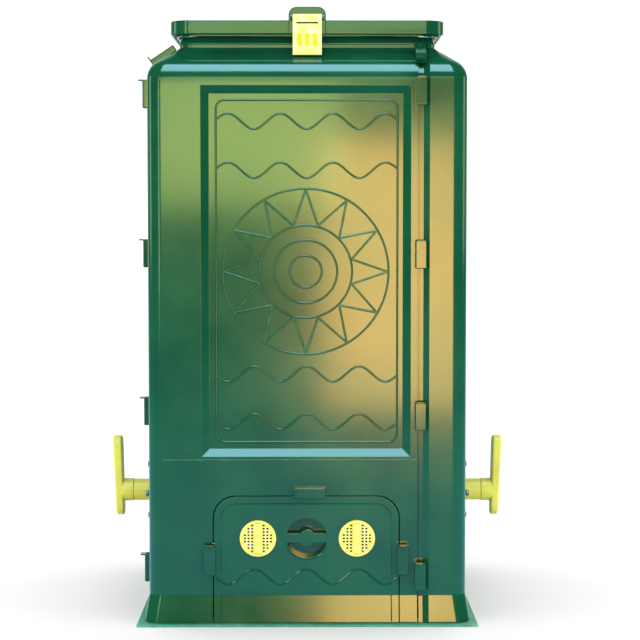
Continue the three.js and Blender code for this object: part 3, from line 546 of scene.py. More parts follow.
def edge_wear_group():
    """A broken-up mask along convex edges."""
    group, given, out = node_group("edge_wear", (("Breakup scale", 60.0),), (("Mask", "NodeSocketFloat"),))
    nodes, links = group.nodes, group.links
    place = nodes.new("ShaderNodeTexCoord").outputs["Object"]
    edges = ranged(nodes, links, nodes.new("ShaderNodeNewGeometry").outputs["Pointiness"], 0.57, 0.66, 0.0, 1.0)
    spots = noise(nodes, links, place, 60.0, 4.0, given.outputs["Breakup scale"])
    broken = computed(nodes, links, "MULTIPLY", edges, ranged(nodes, links, spots, 0.42, 0.66, 0.0, 1.0))
    links.new(broken, out.inputs["Mask"])
    return group


def dust_group():
    """A thin dust mask that settles on surfaces that face up."""
    group, given, out = node_group("settled_dust", (("Amount", 0.3),), (("Mask", "NodeSocketFloat"),))
    nodes, links = group.nodes, group.links
    place = nodes.new("ShaderNodeTexCoord").outputs["Object"]
    apart = nodes.new("ShaderNodeSeparateXYZ")
    links.new(nodes.new("ShaderNodeNewGeometry").outputs["Normal"], apart.inputs["Vector"])
    upward = ranged(nodes, links, apart.outputs["Z"], 0.55, 1.0, 0.0, 1.0)
    patches = ranged(nodes, links, noise(nodes, links, place, 26.0, 6.0), 0.45, 0.75, 0.0, 1.0)
    settled = computed(nodes, links, "MULTIPLY", upward, patches)
    links.new(computed(nodes, links, "MULTIPLY", settled, given.outputs["Amount"]), out.inputs["Mask"])
    return group


def shared_group(name):
    builders = {"moulded_grain": moulded_grain_group, "edge_wear": edge_wear_group, "settled_dust": dust_group}
    return bpy.data.node_groups.get(name) or builders[name]()


def placed_group(nodes, name):
    node = nodes.new("ShaderNodeGroup")
    node.node_tree = shared_group(name)
    return node


def tinted(base, factor):
    return (*(min(1.0, channel * factor) for channel in base), 1.0)


def mixed(nodes, links, factor, first, second):
    """Two colours mixed by a mask; the first may be a socket."""
    node = nodes.new("ShaderNodeMix")
    node.data_type = "RGBA"
    links.new(factor, node.inputs["Factor"])
    for socket, value in ((node.inputs[6], first), (node.inputs[7], second)):
        if hasattr(value, "is_linked"):
            links.new(value, socket)
        else:
            socket.default_value = value
    return node.outputs[2]


DUST_COLOUR = (0.42, 0.40, 0.34, 1.0)


def plastic(name, base, worn, roughness, coat, grain_height, grain_scale=1400.0, specular=0.5, dust=0.3):
    """Moulded plastic: cloudy colour, worn edges, settled dust, fine grain and uneven gloss."""
    material = bpy.data.materials.new(name)
    material.use_nodes = True
    nodes, links = material.node_tree.nodes, material.node_tree.links
    shader = nodes["Principled BSDF"]
    grain = placed_group(nodes, "moulded_grain")
    grain.inputs["Grain scale"].default_value = grain_scale
    wear = placed_group(nodes, "edge_wear")
    dusty = placed_group(nodes, "settled_dust")
    dusty.inputs["Amount"].default_value = dust
    clouds = ranged(nodes, links, grain.outputs["Clouds"], 0.35, 0.65, 0.0, 1.0)
    body = mixed(nodes, links, clouds, tinted(base, 0.86), tinted(base, 1.16))
    edged = mixed(nodes, links, wear.outputs["Mask"], body, (*worn, 1.0))
    covered = mixed(nodes, links, dusty.outputs["Mask"], edged, DUST_COLOUR)
    links.new(covered, shader.inputs["Base Color"])
    gloss = ranged(nodes, links, grain.outputs["Clouds"], 0.3, 0.7, roughness * 0.85, roughness * 1.2)
    links.new(computed(nodes, links, "ADD", gloss, dusty.outputs["Mask"]), shader.inputs["Roughness"])
    bump = nodes.new("ShaderNodeBump")
    bump.inputs["Strength"].default_value = 0.35
    bump.inputs["Distance"].default_value = grain_height
    links.new(grain.outputs["Height"], bump.inputs["Height"])
    links.new(bump.outputs["Normal"], shader.inputs["Normal"])
    shader.inputs["Specular IOR Level"].default_value = specular
    shader.inputs["Coat Weight"].default_value = coat
    shader.inputs["Coat Roughness"].default_value = roughness * 0.6
    return material


def plated_steel(base):
    """Plated steel with faint turning marks."""
    material = bpy.data.materials.new("plated_steel")
    material.use_nodes = True
    nodes, links = material.node_tree.nodes, material.node_tree.links
    shader = nodes["Principled BSDF"]
    place = nodes.new("ShaderNodeTexCoord").outputs["Object"]
    stretch = nodes.new("ShaderNodeMapping")
    stretch.inputs["Scale"].default_value = (40.0, 900.0, 900.0)
    links.new(place, stretch.inputs["Vector"])
    marks = noise(nodes, links, stretch.outputs["Vector"], 1.0, 3.0)
    patches = noise(nodes, links, place, 35.0, 4.0)
    links.new(mixed(nodes, links, patches, tinted(base, 0.8), tinted(base, 1.15)), shader.inputs["Base Color"])
    links.new(ranged(nodes, links, marks, 0.3, 0.7, 0.24, 0.46), shader.inputs["Roughness"])
    shader.inputs["Metallic"].default_value = 1.0
    bump = nodes.new("ShaderNodeBump")
    bump.inputs["Strength"].default_value = 0.2
    bump.inputs["Distance"].default_value = 0.05 * MM
    links.new(marks, bump.inputs["Height"])
    links.new(bump.outputs["Normal"], shader.inputs["Normal"])
    return material


def material_for(name):
    """The named material, built from the scene's colours when first asked for."""
    found = bpy.data.materials.get(name)
    if found:
        return found
    colours = bpy.context.scene.composter_colours
    if name == "moulded_green":
        return plastic(name, colours.green, (0.02, 0.16, 0.07), 0.17, 0.6, 0.08 * MM, specular=0.6, dust=0.025)
    if name == "lemon_plastic":
        return plastic(name, colours.yellow, (0.93, 0.94, 0.4), 0.34, 0.15, 0.1 * MM, dust=0.12)
    # Darker, matte yellow for the latch's pocket floors: painted shade of the pockets.
    if name == "pocket_shade_lemon_plastic":
        return plastic(name, colours.pocket_shade_yellow, (0.9, 0.9, 0.2), 0.4, 0.0, 0.1 * MM, dust=0.05)
    if name == "pale_lemon_plastic":
        return plastic(name, colours.pale_yellow, (0.97, 0.96, 0.6), 0.34, 0.15, 0.1 * MM, dust=0.1)
    if name == "grid_green_plastic":
        return plastic(name, colours.grid, (0.16, 0.6, 0.36), 0.48, 0.0, 0.15 * MM, dust=0.35)
    if name == "bush_plastic":
        return plastic(name, colours.bush, (0.14, 0.14, 0.14), 0.45, 0.0, 0.1 * MM, dust=0.1)
    if name == "plated_steel":
        return plated_steel(colours.steel)
    raise ValueError(f"there is no material named {name}")


# ---------------------------------------------------------------- walls


def shoulder_levels():
    """Half-widths and heights from the top of the wall up to the neck."""
    turn = QUARTER - SHOULDER_SLOPE
    steps = 7
    levels = []
    for step in range(steps + 1):
        angle = turn * step / steps
        levels.append(
            (
                WALL_HALF - SHOULDER_RADIUS * (1 - math.cos(angle)),
                FOOT_Z + SHOULDER_START + SHOULDER_RADIUS * math.sin(angle),
            )
        )
    half, z = levels[-1]
    levels.append((NECK_HALF, z + (half - NECK_HALF) * math.tan(SHOULDER_SLOPE)))
    levels.append((NECK_HALF, WALL_TOP))
    return levels


def bin_skin(name):
    """The outer surface of all four walls, open at the foot and at the neck."""
    levels = [
        (WALL_HALF + FLARE, FOOT_Z),
        (WALL_HALF + FLARE, FOOT_Z + FLARE_TOP),
        (WALL_HALF + 0.3 * MM, FOOT_Z + FLARE_TOP + FLARE_RISE - 1 * MM),
        (WALL_HALF, FOOT_Z + FLARE_TOP + FLARE_RISE + 1 * MM),
        *shoulder_levels(),
    ]
    skin = rounded_tower(name, levels, CORNER_RADIUS)
    with Editing(skin) as edit:
        edit.pick(lambda face: abs(face.normal.z) > 0.99)
        bpy.ops.mesh.delete(type="FACE")
    return skin


def sliced(place, normal, **clear):
    """Cuts what is selected by a plane."""
    bpy.ops.mesh.bisect(plane_co=place, plane_no=normal, **clear)


def panel_skin(name):
    """One panel's outer surface in the front's place, with the lowered edge that runs under the next panel."""
    skin = bin_skin(name)
    groove = SEAM_X + SEAM_GROOVE
    with Editing(skin):
        bpy.ops.mesh.select_all(action="SELECT")
        sliced((0, -groove, 0), (0, 1, 0), clear_outer=True)
        bpy.ops.mesh.select_all(action="SELECT")
        sliced((SEAM_X, 0, 0), (1, 0, 0), clear_outer=True)
    with Editing(skin, "EDGE") as edit:
        edit.pick(
            lambda edge: edge.is_boundary
            and all(abs(corner.co.y + groove) < 0.1 * MM and corner.co.x < 0 for corner in edge.verts)
        )
        bpy.ops.mesh.extrude_region_move(
            TRANSFORM_OT_translate={"value": (LAP_DEPTH, SEAM_BEVEL, -LAP_DEPTH / 2)}
        )
        bpy.ops.mesh.extrude_region_move(
            TRANSFORM_OT_translate={"value": (0, SEAM_GROOVE - SEAM_BEVEL + LAP_UNDER, 0)}
        )
    with Editing(skin) as edit:
        bpy.ops.mesh.select_all(action="SELECT")
        sliced((0, 0, FOOT_Z), (0, 0, -1), clear_outer=True)
        for place, normal in (
            ((FIELD_LEFT, 0, 0), (1, 0, 0)),
            ((FIELD_RIGHT, 0, 0), (1, 0, 0)),
            ((0, 0, FOOT_Z + FIELD_BOTTOM), (0, 0, 1)),
            ((0, 0, FOOT_Z + FIELD_TOP), (0, 0, 1)),
        ):
            edit.pick(lambda face: face.normal.y < -0.99)
            sliced(place, normal)
        edit.pick(
            lambda face: face.normal.y < -0.99
            and FIELD_LEFT < middle_of(face).x < FIELD_RIGHT
            and FOOT_Z + FIELD_BOTTOM < middle_of(face).z < FOOT_Z + FIELD_TOP
        )
        bpy.ops.mesh.inset(thickness=FIELD_BEVEL, depth=-FIELD_DEPTH)
    return skin


def sun_lines(shape, y):
    """The sun in its circle: rays from a ring, and rings inside it."""
    centre_z = FOOT_Z + SUN_HEIGHT
    radius = shape.ridge_radius
    tip = shape.sun_radius - 1.5 * MM
    parts = []
    for ring in (shape.sun_radius, *SUN_RINGS):
        steps = 72
        circle = arc(SUN_X, centre_z, ring, 0, 2 * math.pi * (1 - 1 / steps), y, steps - 1)
        parts.append(ridge(circle, radius, closed=True))
    spread = math.pi / shape.sun_rays
    for ray in range(shape.sun_rays):
        turn = 2 * ray * spread + QUARTER
        points = [
            (SUN_X + reach * math.cos(angle), y, centre_z + reach * math.sin(angle))
            for reach, angle in ((SUN_VALLEY, turn - spread), (tip, turn), (SUN_VALLEY, turn + spread))
        ]
        parts.append(ridge(points[:2], radius))
        parts.append(ridge(points[1:], radius))
    return parts


def field_lines(shape):
    """The moulded lines in the recessed field, and the band line below it."""
    y = -WALL_HALF + FIELD_DEPTH + shape.ridge_radius - shape.ridge_height
    outline = rounded_outline(
        LINES_LEFT, LINES_RIGHT, FOOT_Z + LINES_BOTTOM, FOOT_Z + LINES_TOP, 16 * MM, y
    )
    parts = [ridge(outline, shape.ridge_radius, closed=True)]
    for heights, crest in ((WAVES_WITH_MIDDLE_DOWN, -1), (WAVES_WITH_MIDDLE_UP, 1)):
        for z in heights:
            line = wave(LINES_LEFT, LINES_RIGHT, FOOT_Z + z, crest * shape.wave_height, shape.wave_length, y)
            parts.append(ridge(line, shape.ridge_radius))
    band_y = -WALL_HALF + 0.7 * MM
    band = ridge([(BAND_LEFT, band_y, FOOT_Z + BAND_Z), (BAND_RIGHT, band_y, FOOT_Z + BAND_Z)], 1.2 * MM)
    return [*parts, band, *sun_lines(shape, y)]


def wall_panel(shape):
    """A finished wall panel in the front's place, without its moulded lines."""
    panel = panel_skin("panel_blank")
    modify(panel, "SOLIDIFY", thickness=WALL_THICKNESS, offset=-1.0)
    rounded(panel, shape.edge_round, segments=3, angle=24)
    low = (-WALL_HALF - FLARE - 1 * MM, -SEAM_X - LAP_GAP, FOOT_Z - 1 * MM)
    high = (-WALL_HALF + LAP_DEPTH + LAP_GAP_DEPTH, -SEAM_X - 0.3 * MM, FOOT_Z + SHOULDER_START)
    return cut(panel, block("lap_gap", low, high))


def door_prism(name, grow):
    """A block through the front wall with the door's outline, grown by a margin."""
    left, right = DOOR_LOW.x - grow, DOOR_HIGH.x + grow
    top = DOOR_HIGH.z + grow
    prism = block(name, (left, -0.33, -0.05), (right, -0.2, top))
    with Editing(prism, "EDGE") as edit:
        edit.pick(
            lambda edge: abs(edge.verts[0].co.y - edge.verts[1].co.y) > 0.05 and middle_of(edge).z > 0.1
        )
        bpy.ops.mesh.bevel(offset=DOOR_CORNER + grow, segments=10, profile=0.5)
    return prism


class COMPOSTER_OT_wall_panels(bpy.types.Operator):
    """Build the four wall panels with their recessed fields and moulded lines"""

    bl_idname = "composter.wall_panels"
    bl_label = "Wall panels"

    def execute(self, context):
        shape = context.scene.composter_shape
        blank = wall_panel(shape)
        lines = shaded(joined("field_lines", field_lines(shape)), RIDGE_SHARP_FROM)
        for quarters, side in enumerate(SIDES):
            panel = quarter_turned(blank, f"{side}_wall", 0)
            if side == "front":
                cut(panel, door_prism("door_opening", DOOR_OPENING_GROWTH))
            if side in ("left", "right"):
                cut(panel, rod("bush_hole", "Y", BUSH_HOLE_RADIUS, -0.32, -0.26, (0, SHAFT_Z)))
            shaded(panel, WALL_SHARP_FROM)
            whole = weighted(joined(f"{side}_wall", [panel, quarter_turned(lines, "moulding", 0)]))
            whole.data.transform(Matrix.Rotation(quarters * QUARTER, 4, "Z"))
            finished(whole, "root", "body_green", material_for("moulded_green"), f"{side}_panel")
        bpy.data.objects.remove(blank)
        bpy.data.objects.remove(lines)
        return {"FINISHED"}


# ---------------------------------------------------------------- clips


def clip_model(name, clip_length):
    """A clip at the origin, standing out along -Y, with its tab at the upper end."""
    half = clip_length / 2
    tab_low = half - CLIP_TAB_THICKNESS
    inside, wall = CLIP_HALF - 2.2 * MM, CLIP_HEIGHT - 2.2 * MM
    body = block(name, (-CLIP_HALF, -CLIP_HEIGHT, -half), (CLIP_HALF, -0.3 * MM, half))
    rounded(body, 1.6 * MM, 3, 40)
    cut(body, block("channel", (-inside, -wall, -half - 5 * MM), (inside, 5 * MM, tab_low)))
    tab_half = CLIP_HALF - 0.4 * MM
    tab = block("tab", (-tab_half, -CLIP_TAB_REACH, tab_low), (tab_half, -1 * MM, half))
    with Editing(tab, "EDGE") as edit:
        edit.pick(
            lambda edge: middle_of(edge).y < -CLIP_TAB_REACH + 0.5 * MM
            and abs(edge.verts[0].co.z - edge.verts[1].co.z) > 1 * MM
        )
        bpy.ops.mesh.bevel(offset=4 * MM, segments=4)
    rounded(tab, 0.8 * MM, 2, 40)
    groove_low = (-4 * MM, -CLIP_HEIGHT - 0.6 * MM, -half + 8 * MM)
    groove_high = (4 * MM, -CLIP_HEIGHT + 0.6 * MM, half - 10 * MM)
    cut(body, block("groove", groove_low, groove_high))
    return smooth(joined(name, [body, tab]))


def clip_place(node):
    """The middle of a clip node's box."""
    low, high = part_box(node)
    return (low + high) / 2


def seam_clip_frame(quarters, station):
    """The frame of a seam clip: on the wall's face, or on the shoulder's slope with its tab below."""
    centre = clip_place(f"front_seam_clip_{station}")
    turn = Matrix.Rotation(quarters * QUARTER, 4, "Z")
    if station != "shoulder":
        return turn @ Matrix.Translation((centre.x, -WALL_HALF, centre.z))
    levels = shoulder_levels()
    neck_half, neck_z = levels[-2]
    down = SHOULDER_CLIP_INSET + SEAM_CLIP_LENGTH / 2
    place = Matrix.Translation(
        (centre.x, -neck_half - down * math.cos(SHOULDER_SLOPE), neck_z - down * math.sin(SHOULDER_SLOPE))
    )
    lean = Matrix.Rotation(SHOULDER_SLOPE - QUARTER, 4, "X")
    return turn @ place @ lean @ Matrix.Rotation(math.pi, 4, "Y")


class COMPOSTER_OT_clips(bpy.types.Operator):
    """Build the seam clips and the door's clips"""

    bl_idname = "composter.clips"
    bl_label = "Clips"

    def execute(self, context):
        green = material_for("moulded_green")
        model = clip_model("clip_model", SEAM_CLIP_LENGTH)
        for quarters, side in enumerate(SIDES):
            for station in CLIP_STATIONS:
                clip = copied(model, f"{side}_clip_{station}", seam_clip_frame(quarters, station))
                finished(clip, "root", "body_green", green, f"{side}_seam_clip_{station}")
        door_model = clip_model("door_clip_model", DOOR_CLIP_LENGTH)
        for name in ("above", "left", "right"):
            centre = clip_place(f"door_clip_{name}")
            frame_of = Matrix.Translation((centre.x, -WALL_HALF, centre.z))
            if name == "above":
                frame_of = frame_of @ Matrix.Rotation(-QUARTER, 4, "Y")
            clip = copied(door_model, f"door_latch_clip_{name}", frame_of)
            finished(clip, f"clip_{name}", "body_green", green, f"door_clip_{name}")
        bpy.data.objects.remove(model)
        bpy.data.objects.remove(door_model)
        return {"FINISHED"}


# ---------------------------------------------------------------- door


def wall_y(z):
    """The front face's Y at a height above the foot."""
    if z < FLARE_TOP:
        return -WALL_HALF - FLARE
    if z < FLARE_TOP + FLARE_RISE:
        return -WALL_HALF - FLARE * (1 - (z - FLARE_TOP) / FLARE_RISE)
    return -WALL_HALF


def door_lines(shape):
    """The door's moulded wave and the soft step line that follows its edge."""
    sunk = shape.ridge_radius - shape.ridge_height
    low = shape.ridge_radius - 0.5 * MM
    inset = 14 * MM
    left, right = DOOR_LOW.x + inset, DOOR_HIGH.x - inset
    top, radius = DOOR_HIGH.z - inset, 28 * MM
    up = [(left, wall_y(z * MM) + low, FOOT_Z + z * MM) for z in (3, 20, 35, 48, 52, 62)]
    down = [(right, y, z) for _, y, z in reversed(up)]
    corner_left = arc(left + radius, top - radius, radius, 2 * QUARTER, QUARTER, -WALL_HALF + low)
    corner_right = arc(right - radius, top - radius, radius, QUARTER, 0, -WALL_HALF + low)
    y = -WALL_HALF + sunk
    step = ridge(up + corner_left + corner_right + down, shape.ridge_radius)
    ends = (DOOR_LOW.x + 4 * MM, DOOR_HIGH.x - 4 * MM)
    line = wave(*ends, FOOT_Z + DOOR_WAVE_HEIGHT, shape.wave_height, shape.wave_length, y)
    centre = grip_centre()
    rim = arc(centre.x, centre.z, 39.5 * MM, 1.12 * math.pi, 1.88 * math.pi, y, 24)
    pointer = [(centre.x, y, centre.z - 44 * MM), (centre.x, y, centre.z - 49 * MM)]
    return [step, ridge(line, shape.ridge_radius), ridge(rim, 1.5 * MM), ridge(pointer, shape.ridge_radius)]


def grip_bar(centre, low_y, high_y):
    """The bar across the grip with its round bulge."""
    reach = GRIP_RADIUS + 2 * MM
    low = (centre.x - reach, low_y, centre.z - GRIP_BAR_HALF)
    bar = block("grip_bar", low, (centre.x + reach, high_y, centre.z + GRIP_BAR_HALF))
    return cut(bar, rod("bulge", "Y", GRIP_BULGE_RADIUS, low_y, high_y, (centre.x, centre.z)), "UNION")


def grip_centre():
    return Vector((GRIP_X, -WALL_HALF, FOOT_Z + FITTING_HEIGHT))


def vent_centres():
    height = FOOT_Z + FITTING_HEIGHT
    return {name: Vector((x, -WALL_HALF, height)) for name, x in (("left", -VENT_X), ("right", VENT_X))}


class COMPOSTER_OT_door(bpy.types.Operator):
    """Build the take-out door with its grip and vent seats"""

    bl_idname = "composter.door"
    bl_label = "Take-out door"

    def execute(self, context):
        shape = context.scene.composter_shape
        door = bin_skin("take_out_panel")
        modify(door, "SOLIDIFY", thickness=WALL_THICKNESS, offset=-1.0)
        cut(door, door_prism("door_outline", DOOR_OUTLINE_GROWTH), "INTERSECT")
        centre = grip_centre()
        at = (centre.x, centre.z)
        back = -WALL_HALF + GRIP_DEPTH
        cup = rod("cup", "Y", GRIP_RADIUS + WALL_THICKNESS, -WALL_HALF + 1 * MM, back + WALL_THICKNESS, at, 64)
        cut(door, cup, "UNION")
        hollow = rod("hollow", "Y", GRIP_RADIUS, -WALL_HALF - 9 * MM, back, at, 64)
        cut(hollow, grip_bar(centre, -WALL_HALF - 20 * MM, -WALL_HALF + 8 * MM))
        cut(door, hollow)
        for vent in vent_centres().values():
            place = (vent.x, vent.z)
            seat_radius = VENT_RADIUS + 0.3 * MM
            seat = rod("seat", "Y", seat_radius, -WALL_HALF + 1 * MM, -WALL_HALF + 8.8 * MM, place, 64)
            cut(door, seat, "UNION")
            cut(door, rod("bore", "Y", 29.3 * MM, -WALL_HALF - 9 * MM, -WALL_HALF + 5.8 * MM, place, 64))
            for slot in vent_slots(vent, 26 * MM):
                cut(door, slot)
        rounded(door, 1.2 * MM, 3, 40)
        whole = joined("take_out_panel", [door, *door_lines(shape)])
        smooth(whole)
        finished(whole, "door", "body_green", material_for("moulded_green"), "take_out_door")
        return {"FINISHED"}


def vent_columns():
    """The X of each column of holes, to both sides of the bar."""
    return [
        side * (VENT_BAR_HALF + VENT_COLUMN_PITCH * (column + 0.5))
        for side in (-1, 1)
        for column in range(VENT_COLUMNS)
    ]


def vent_slots(vent, radius):
    """Upright slot cutters through a vent's seat."""
    slots = []
    for x in vent_columns():
        reach = math.sqrt(radius**2 - (abs(x) + 1.8 * MM) ** 2)
        low = (vent.x + x - 1.8 * MM, -WALL_HALF - 9 * MM, vent.z - reach)
        high = (vent.x + x + 1.8 * MM, -WALL_HALF + 20 * MM, vent.z + reach)
        slots.append(block("slot", low, high))
    return slots


def vent_model(name):
    """A vent dial at the origin of its seat: a rim, a perforated face, and a bar to turn it by."""
    dial = rod(name, "Y", VENT_RADIUS, -4.3 * MM, -0.3 * MM, (0, 0), 72)
    with Editing(dial) as edit:
        edit.pick(lambda face: face.normal.y < -0.9)
        bpy.ops.mesh.inset(thickness=4.6 * MM, depth=0)
        bpy.ops.mesh.inset(thickness=0.6 * MM, depth=-1.4 * MM)
    holes = []
    for x in vent_columns():
        for row in range(-VENT_ROWS_EACH_WAY, VENT_ROWS_EACH_WAY + 1):
            z = row * VENT_ROW_PITCH
            if math.hypot(x, z) < VENT_RADIUS - 7 * MM:
                low = (x - 1.8 * MM, -9 * MM, z - 1.6 * MM)
                high = (x + 1.8 * MM, 9 * MM, z + 1.6 * MM)
                holes.append(block("hole", low, high))
    cut(dial, joined("holes", holes))
    rounded(dial, 0.9 * MM, 3, 50)
    bar = block("bar", (-VENT_BAR_HALF, -8.3 * MM, -27.6 * MM), (VENT_BAR_HALF, -2.5 * MM, 27.6 * MM))
    with Editing(bar, "EDGE") as edit:
        edit.pick(lambda edge: middle_of(edge).y < -8 * MM)
        bpy.ops.mesh.bevel(offset=2.6 * MM, segments=4)
    return smooth(joined(name, [dial, bar]))


class COMPOSTER_OT_vents(bpy.types.Operator):
    """Build the two perforated vent dials"""

    bl_idname = "composter.vents"
    bl_label = "Vents"

    def execute(self, context):
        model = vent_model("vent_model")
        for name, centre in vent_centres().items():
            vent = copied(model, f"vent_dial_{name}", Matrix.Translation(centre))
            material = material_for("pale_lemon_plastic")
            finished(vent, f"vent_{name}", "lever_yellow", material, f"door_vent_{name}")
        bpy.data.objects.remove(model)
        return {"FINISHED"}


# ---------------------------------------------------------------- collar, lid and latch


def hinge_axis():
    """The Y and Z of the lid's hinge pins."""
    low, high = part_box("lid_hinge_pin_left")
    return (low.y + high.y) / 2, (low.z + high.z) / 2


def hinge_knuckle(x, axis, arm):
    """A bored knuckle around the hinge axis, joined to its arm."""
    knuckle = rod("knuckle", "X", HINGE_RADIUS, x - HINGE_HALF, x + HINGE_HALF, axis, 32)
    cut(knuckle, arm, "UNION")
    cut(knuckle, rod("bore", "X", HINGE_BORE, x - 20 * MM, x + 20 * MM, axis, 24))
    return rounded(knuckle, 0.8 * MM, 2, 40)


class COMPOSTER_OT_collar(bpy.types.Operator):
    """Build the collar under the lid, with its catch and hinge knuckles"""

    bl_idname = "composter.collar"
    bl_label = "Collar"

    def execute(self, context):
        low = WALL_TOP + 0.3 * MM
        top = low + COLLAR_HEIGHT
        ring = rounded_tower(
            "neck_collar",
            [(NECK_HALF, low), (NECK_HALF, low + 2 * MM), (NECK_HALF - 6 * MM, top)],
            CORNER_RADIUS * 0.85,
        )
        skirt = rounded_tower("skirt", [(SKIRT_HALF, low - 20 * MM), (SKIRT_HALF, low + 1 * MM)], 19 * MM)
        cut(ring, skirt, "UNION")
        cut(ring, rounded_tower("mouth", [(MOUTH_HALF, low - 30 * MM), (MOUTH_HALF, top + 9 * MM)], 16 * MM))
        catch = block("catch", (-18 * MM, -254 * MM, low + 2 * MM), (18 * MM, -228 * MM, low + 6 * MM))
        cut(ring, catch, "UNION")
        rounded(ring, 0.9 * MM, 2, 40)
        parts = [ring]
        axis = hinge_axis()
        for side in (-1, 1):
            for end in (-1, 1):
                x = side * HINGE_X + end * HINGE_PITCH
                arm = block("arm", (x - HINGE_HALF, 227 * MM, low + 2 * MM), (x + HINGE_HALF, axis[0], top))
                parts.append(hinge_knuckle(x, axis, arm))
        collar = smooth(joined("neck_collar", parts))
        finished(collar, "root", "body_green", material_for("moulded_green"), "top_collar")
        return {"FINISHED"}


def lid_tray():
    """The lid's tray with a pressed top and a rib below that centres it, and the height of its foot."""
    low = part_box("lid_hinge_pin_left")[0].z + 3 * MM
    top = low + LID_HEIGHT
    tray = rounded_tower("lid_tray", [(LID_HALF, low), (LID_HALF, top)], LID_CORNER, 12)
    with Editing(tray) as edit:
        edit.pick(lambda face: face.normal.z > 0.9)
        bpy.ops.mesh.inset(thickness=13 * MM, depth=0)
        bpy.ops.mesh.inset(thickness=5 * MM, depth=-3 * MM)
        bpy.ops.mesh.extrude_region_move(TRANSFORM_OT_translate={"value": (0, 0, 0)})
        bpy.ops.transform.resize(value=(0.74, 0.74, 1), center_override=(0, 0, top))
        bpy.ops.mesh.inset(thickness=6 * MM, depth=2.5 * MM)
        edit.pick(lambda face: face.normal.z < -0.9)
        bpy.ops.mesh.inset(thickness=4 * MM, depth=0)
        bpy.ops.mesh.inset(thickness=0.4 * MM, depth=-17 * MM)
    outer, inner = LID_HALF - 10 * MM, LID_HALF - 14 * MM
    rib = rounded_tower("rib", [(outer, low - 2.7 * MM), (outer, top - 6 * MM)], 34 * MM)
    cut(rib, rounded_tower("rib_inside", [(inner, low - 9 * MM), (inner, top)], 31 * MM))
    return [rounded(tray, 2.2 * MM, 4, 40), rib], low


def lid_lug(low):
    """The upright lug at the front of the lid with rounded shoulders."""
    lug = block("lug", (-LUG_HALF, -254 * MM, low), (LUG_HALF, -248 * MM, LID_HIGH.z))
    with Editing(lug, "EDGE") as edit:
        edit.pick(
            lambda edge: abs(edge.verts[0].co.y - edge.verts[1].co.y) > 2 * MM
            and middle_of(edge).z > low + 30 * MM
        )
        bpy.ops.mesh.bevel(offset=LUG_CORNER, segments=8, profile=0.5)
    return rounded(lug, 1.4 * MM, 3, 40)


class COMPOSTER_OT_lid(bpy.types.Operator):
    """Build the lid with its lug, ears and hinge straps"""

    bl_idname = "composter.lid"
    bl_label = "Lid"

    def execute(self, context):
        parts, low = lid_tray()
        parts.append(lid_lug(low))
        pin_low, pin_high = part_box("lid_latch_pin")
        pin = ((pin_low.y + pin_high.y) / 2, (pin_low.z + pin_high.z) / 2)
        axis = hinge_axis()
        for side in (-1, 1):
            near, far = sorted((side * 26.6 * MM, side * 31 * MM))
            ear = rod("ear", "X", 6 * MM, near, far, pin, 32)
            cut(ear, block("arm", (near, pin[0], pin[1] - 6 * MM), (far, -250 * MM, pin[1] + 6 * MM)), "UNION")
            parts.append(rounded(ear, 0.7 * MM, 2, 40))
            x = side * HINGE_X
            strap_low = (x - HINGE_HALF, LID_HALF - 1 * MM, axis[1])
            strap = block("strap", strap_low, (x + HINGE_HALF, axis[0], axis[1] + HINGE_RADIUS))
            parts.append(hinge_knuckle(x, axis, strap))
        lid = smooth(joined("lid_cover", parts))
        finished(lid, "lid", "body_green", material_for("moulded_green"), "lid")
        return {"FINISHED"}


class COMPOSTER_OT_latch(bpy.types.Operator):
    """Build the swing latch"""

    bl_idname = "composter.latch"
    bl_label = "Latch"

    def execute(self, context):
        half = (LATCH_HIGH.x - LATCH_LOW.x) / 2
        front = LATCH_LOW.y
        pin_low, pin_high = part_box("lid_latch_pin")
        pin = ((pin_low.y + pin_high.y) / 2, (pin_low.z + pin_high.z) / 2)
        plate = block("swing_latch", (-half, front, LATCH_LOW.z), (half, front + 4 * MM, pin[1]))
        cut(plate, rod("knuckle", "X", LATCH_KNUCKLE_RADIUS, -half, half, pin, 40), "UNION")
        cut(plate, rod("bore", "X", 2.3 * MM, -half - 9 * MM, half + 9 * MM, pin, 24))
        nose_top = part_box("top_collar")[0].z + 21 * MM
        nose = block("nose", (-18 * MM, front + 1 * MM, nose_top - 8 * MM), (18 * MM, -254.5 * MM, nose_top))
        cut(plate, nose, "UNION")
        slot_low = (-19.5 * MM, front - 9 * MM, pin[1] - 12 * MM)
        cut(plate, block("slot", slot_low, (19.5 * MM, front + 9 * MM, pin[1] - 9 * MM)))
        columns = [column * LATCH_POCKET_PITCH for column in (-1, 0, 1)]
        for x in columns:
            low = (x - 4.6 * MM, front - 5 * MM, LATCH_LOW.z + 16 * MM)
            hollow = block("hollow", low, (x + 4.6 * MM, front + 2 * MM, LATCH_LOW.z + 38 * MM))
            cut(plate, rounded(hollow, 1.5 * MM, 3, 40))
        rounded(plate, 1.1 * MM, 3, 40)
        lip_at = (front + 2 * MM, LATCH_LOW.z + 2.6 * MM)
        lip = rod("lip", "X", 2.6 * MM, -half + 1 * MM, half - 1 * MM, lip_at, 24)
        latch = smooth(joined("swing_latch", [plate, rounded(lip, 0.8 * MM, 2, 40)]))
        finished(latch, "latch", "lever_yellow", material_for("pale_lemon_plastic"), "lid_latch")
        # Thin fills on the floors of the three finger pockets, in the darker yellow: painted shade of the
        # pockets.
        pocket_shade_fills = [
            block(
                "pocket_shade_fill",
                (x - 4.2 * MM, front + 1.3 * MM, LATCH_LOW.z + 16.4 * MM),
                (x + 4.2 * MM, front + 2.6 * MM, LATCH_LOW.z + 37.6 * MM),
            )
            for x in columns
        ]
        grip = smooth(rounded(joined("latch_pocket_shade", pocket_shade_fills), 0.5 * MM, 2, 40))
        finished(grip, "latch", "lever_yellow", material_for("pocket_shade_lemon_plastic"))
        return {"FINISHED"}


# ---------------------------------------------------------------- levers, flanges and base


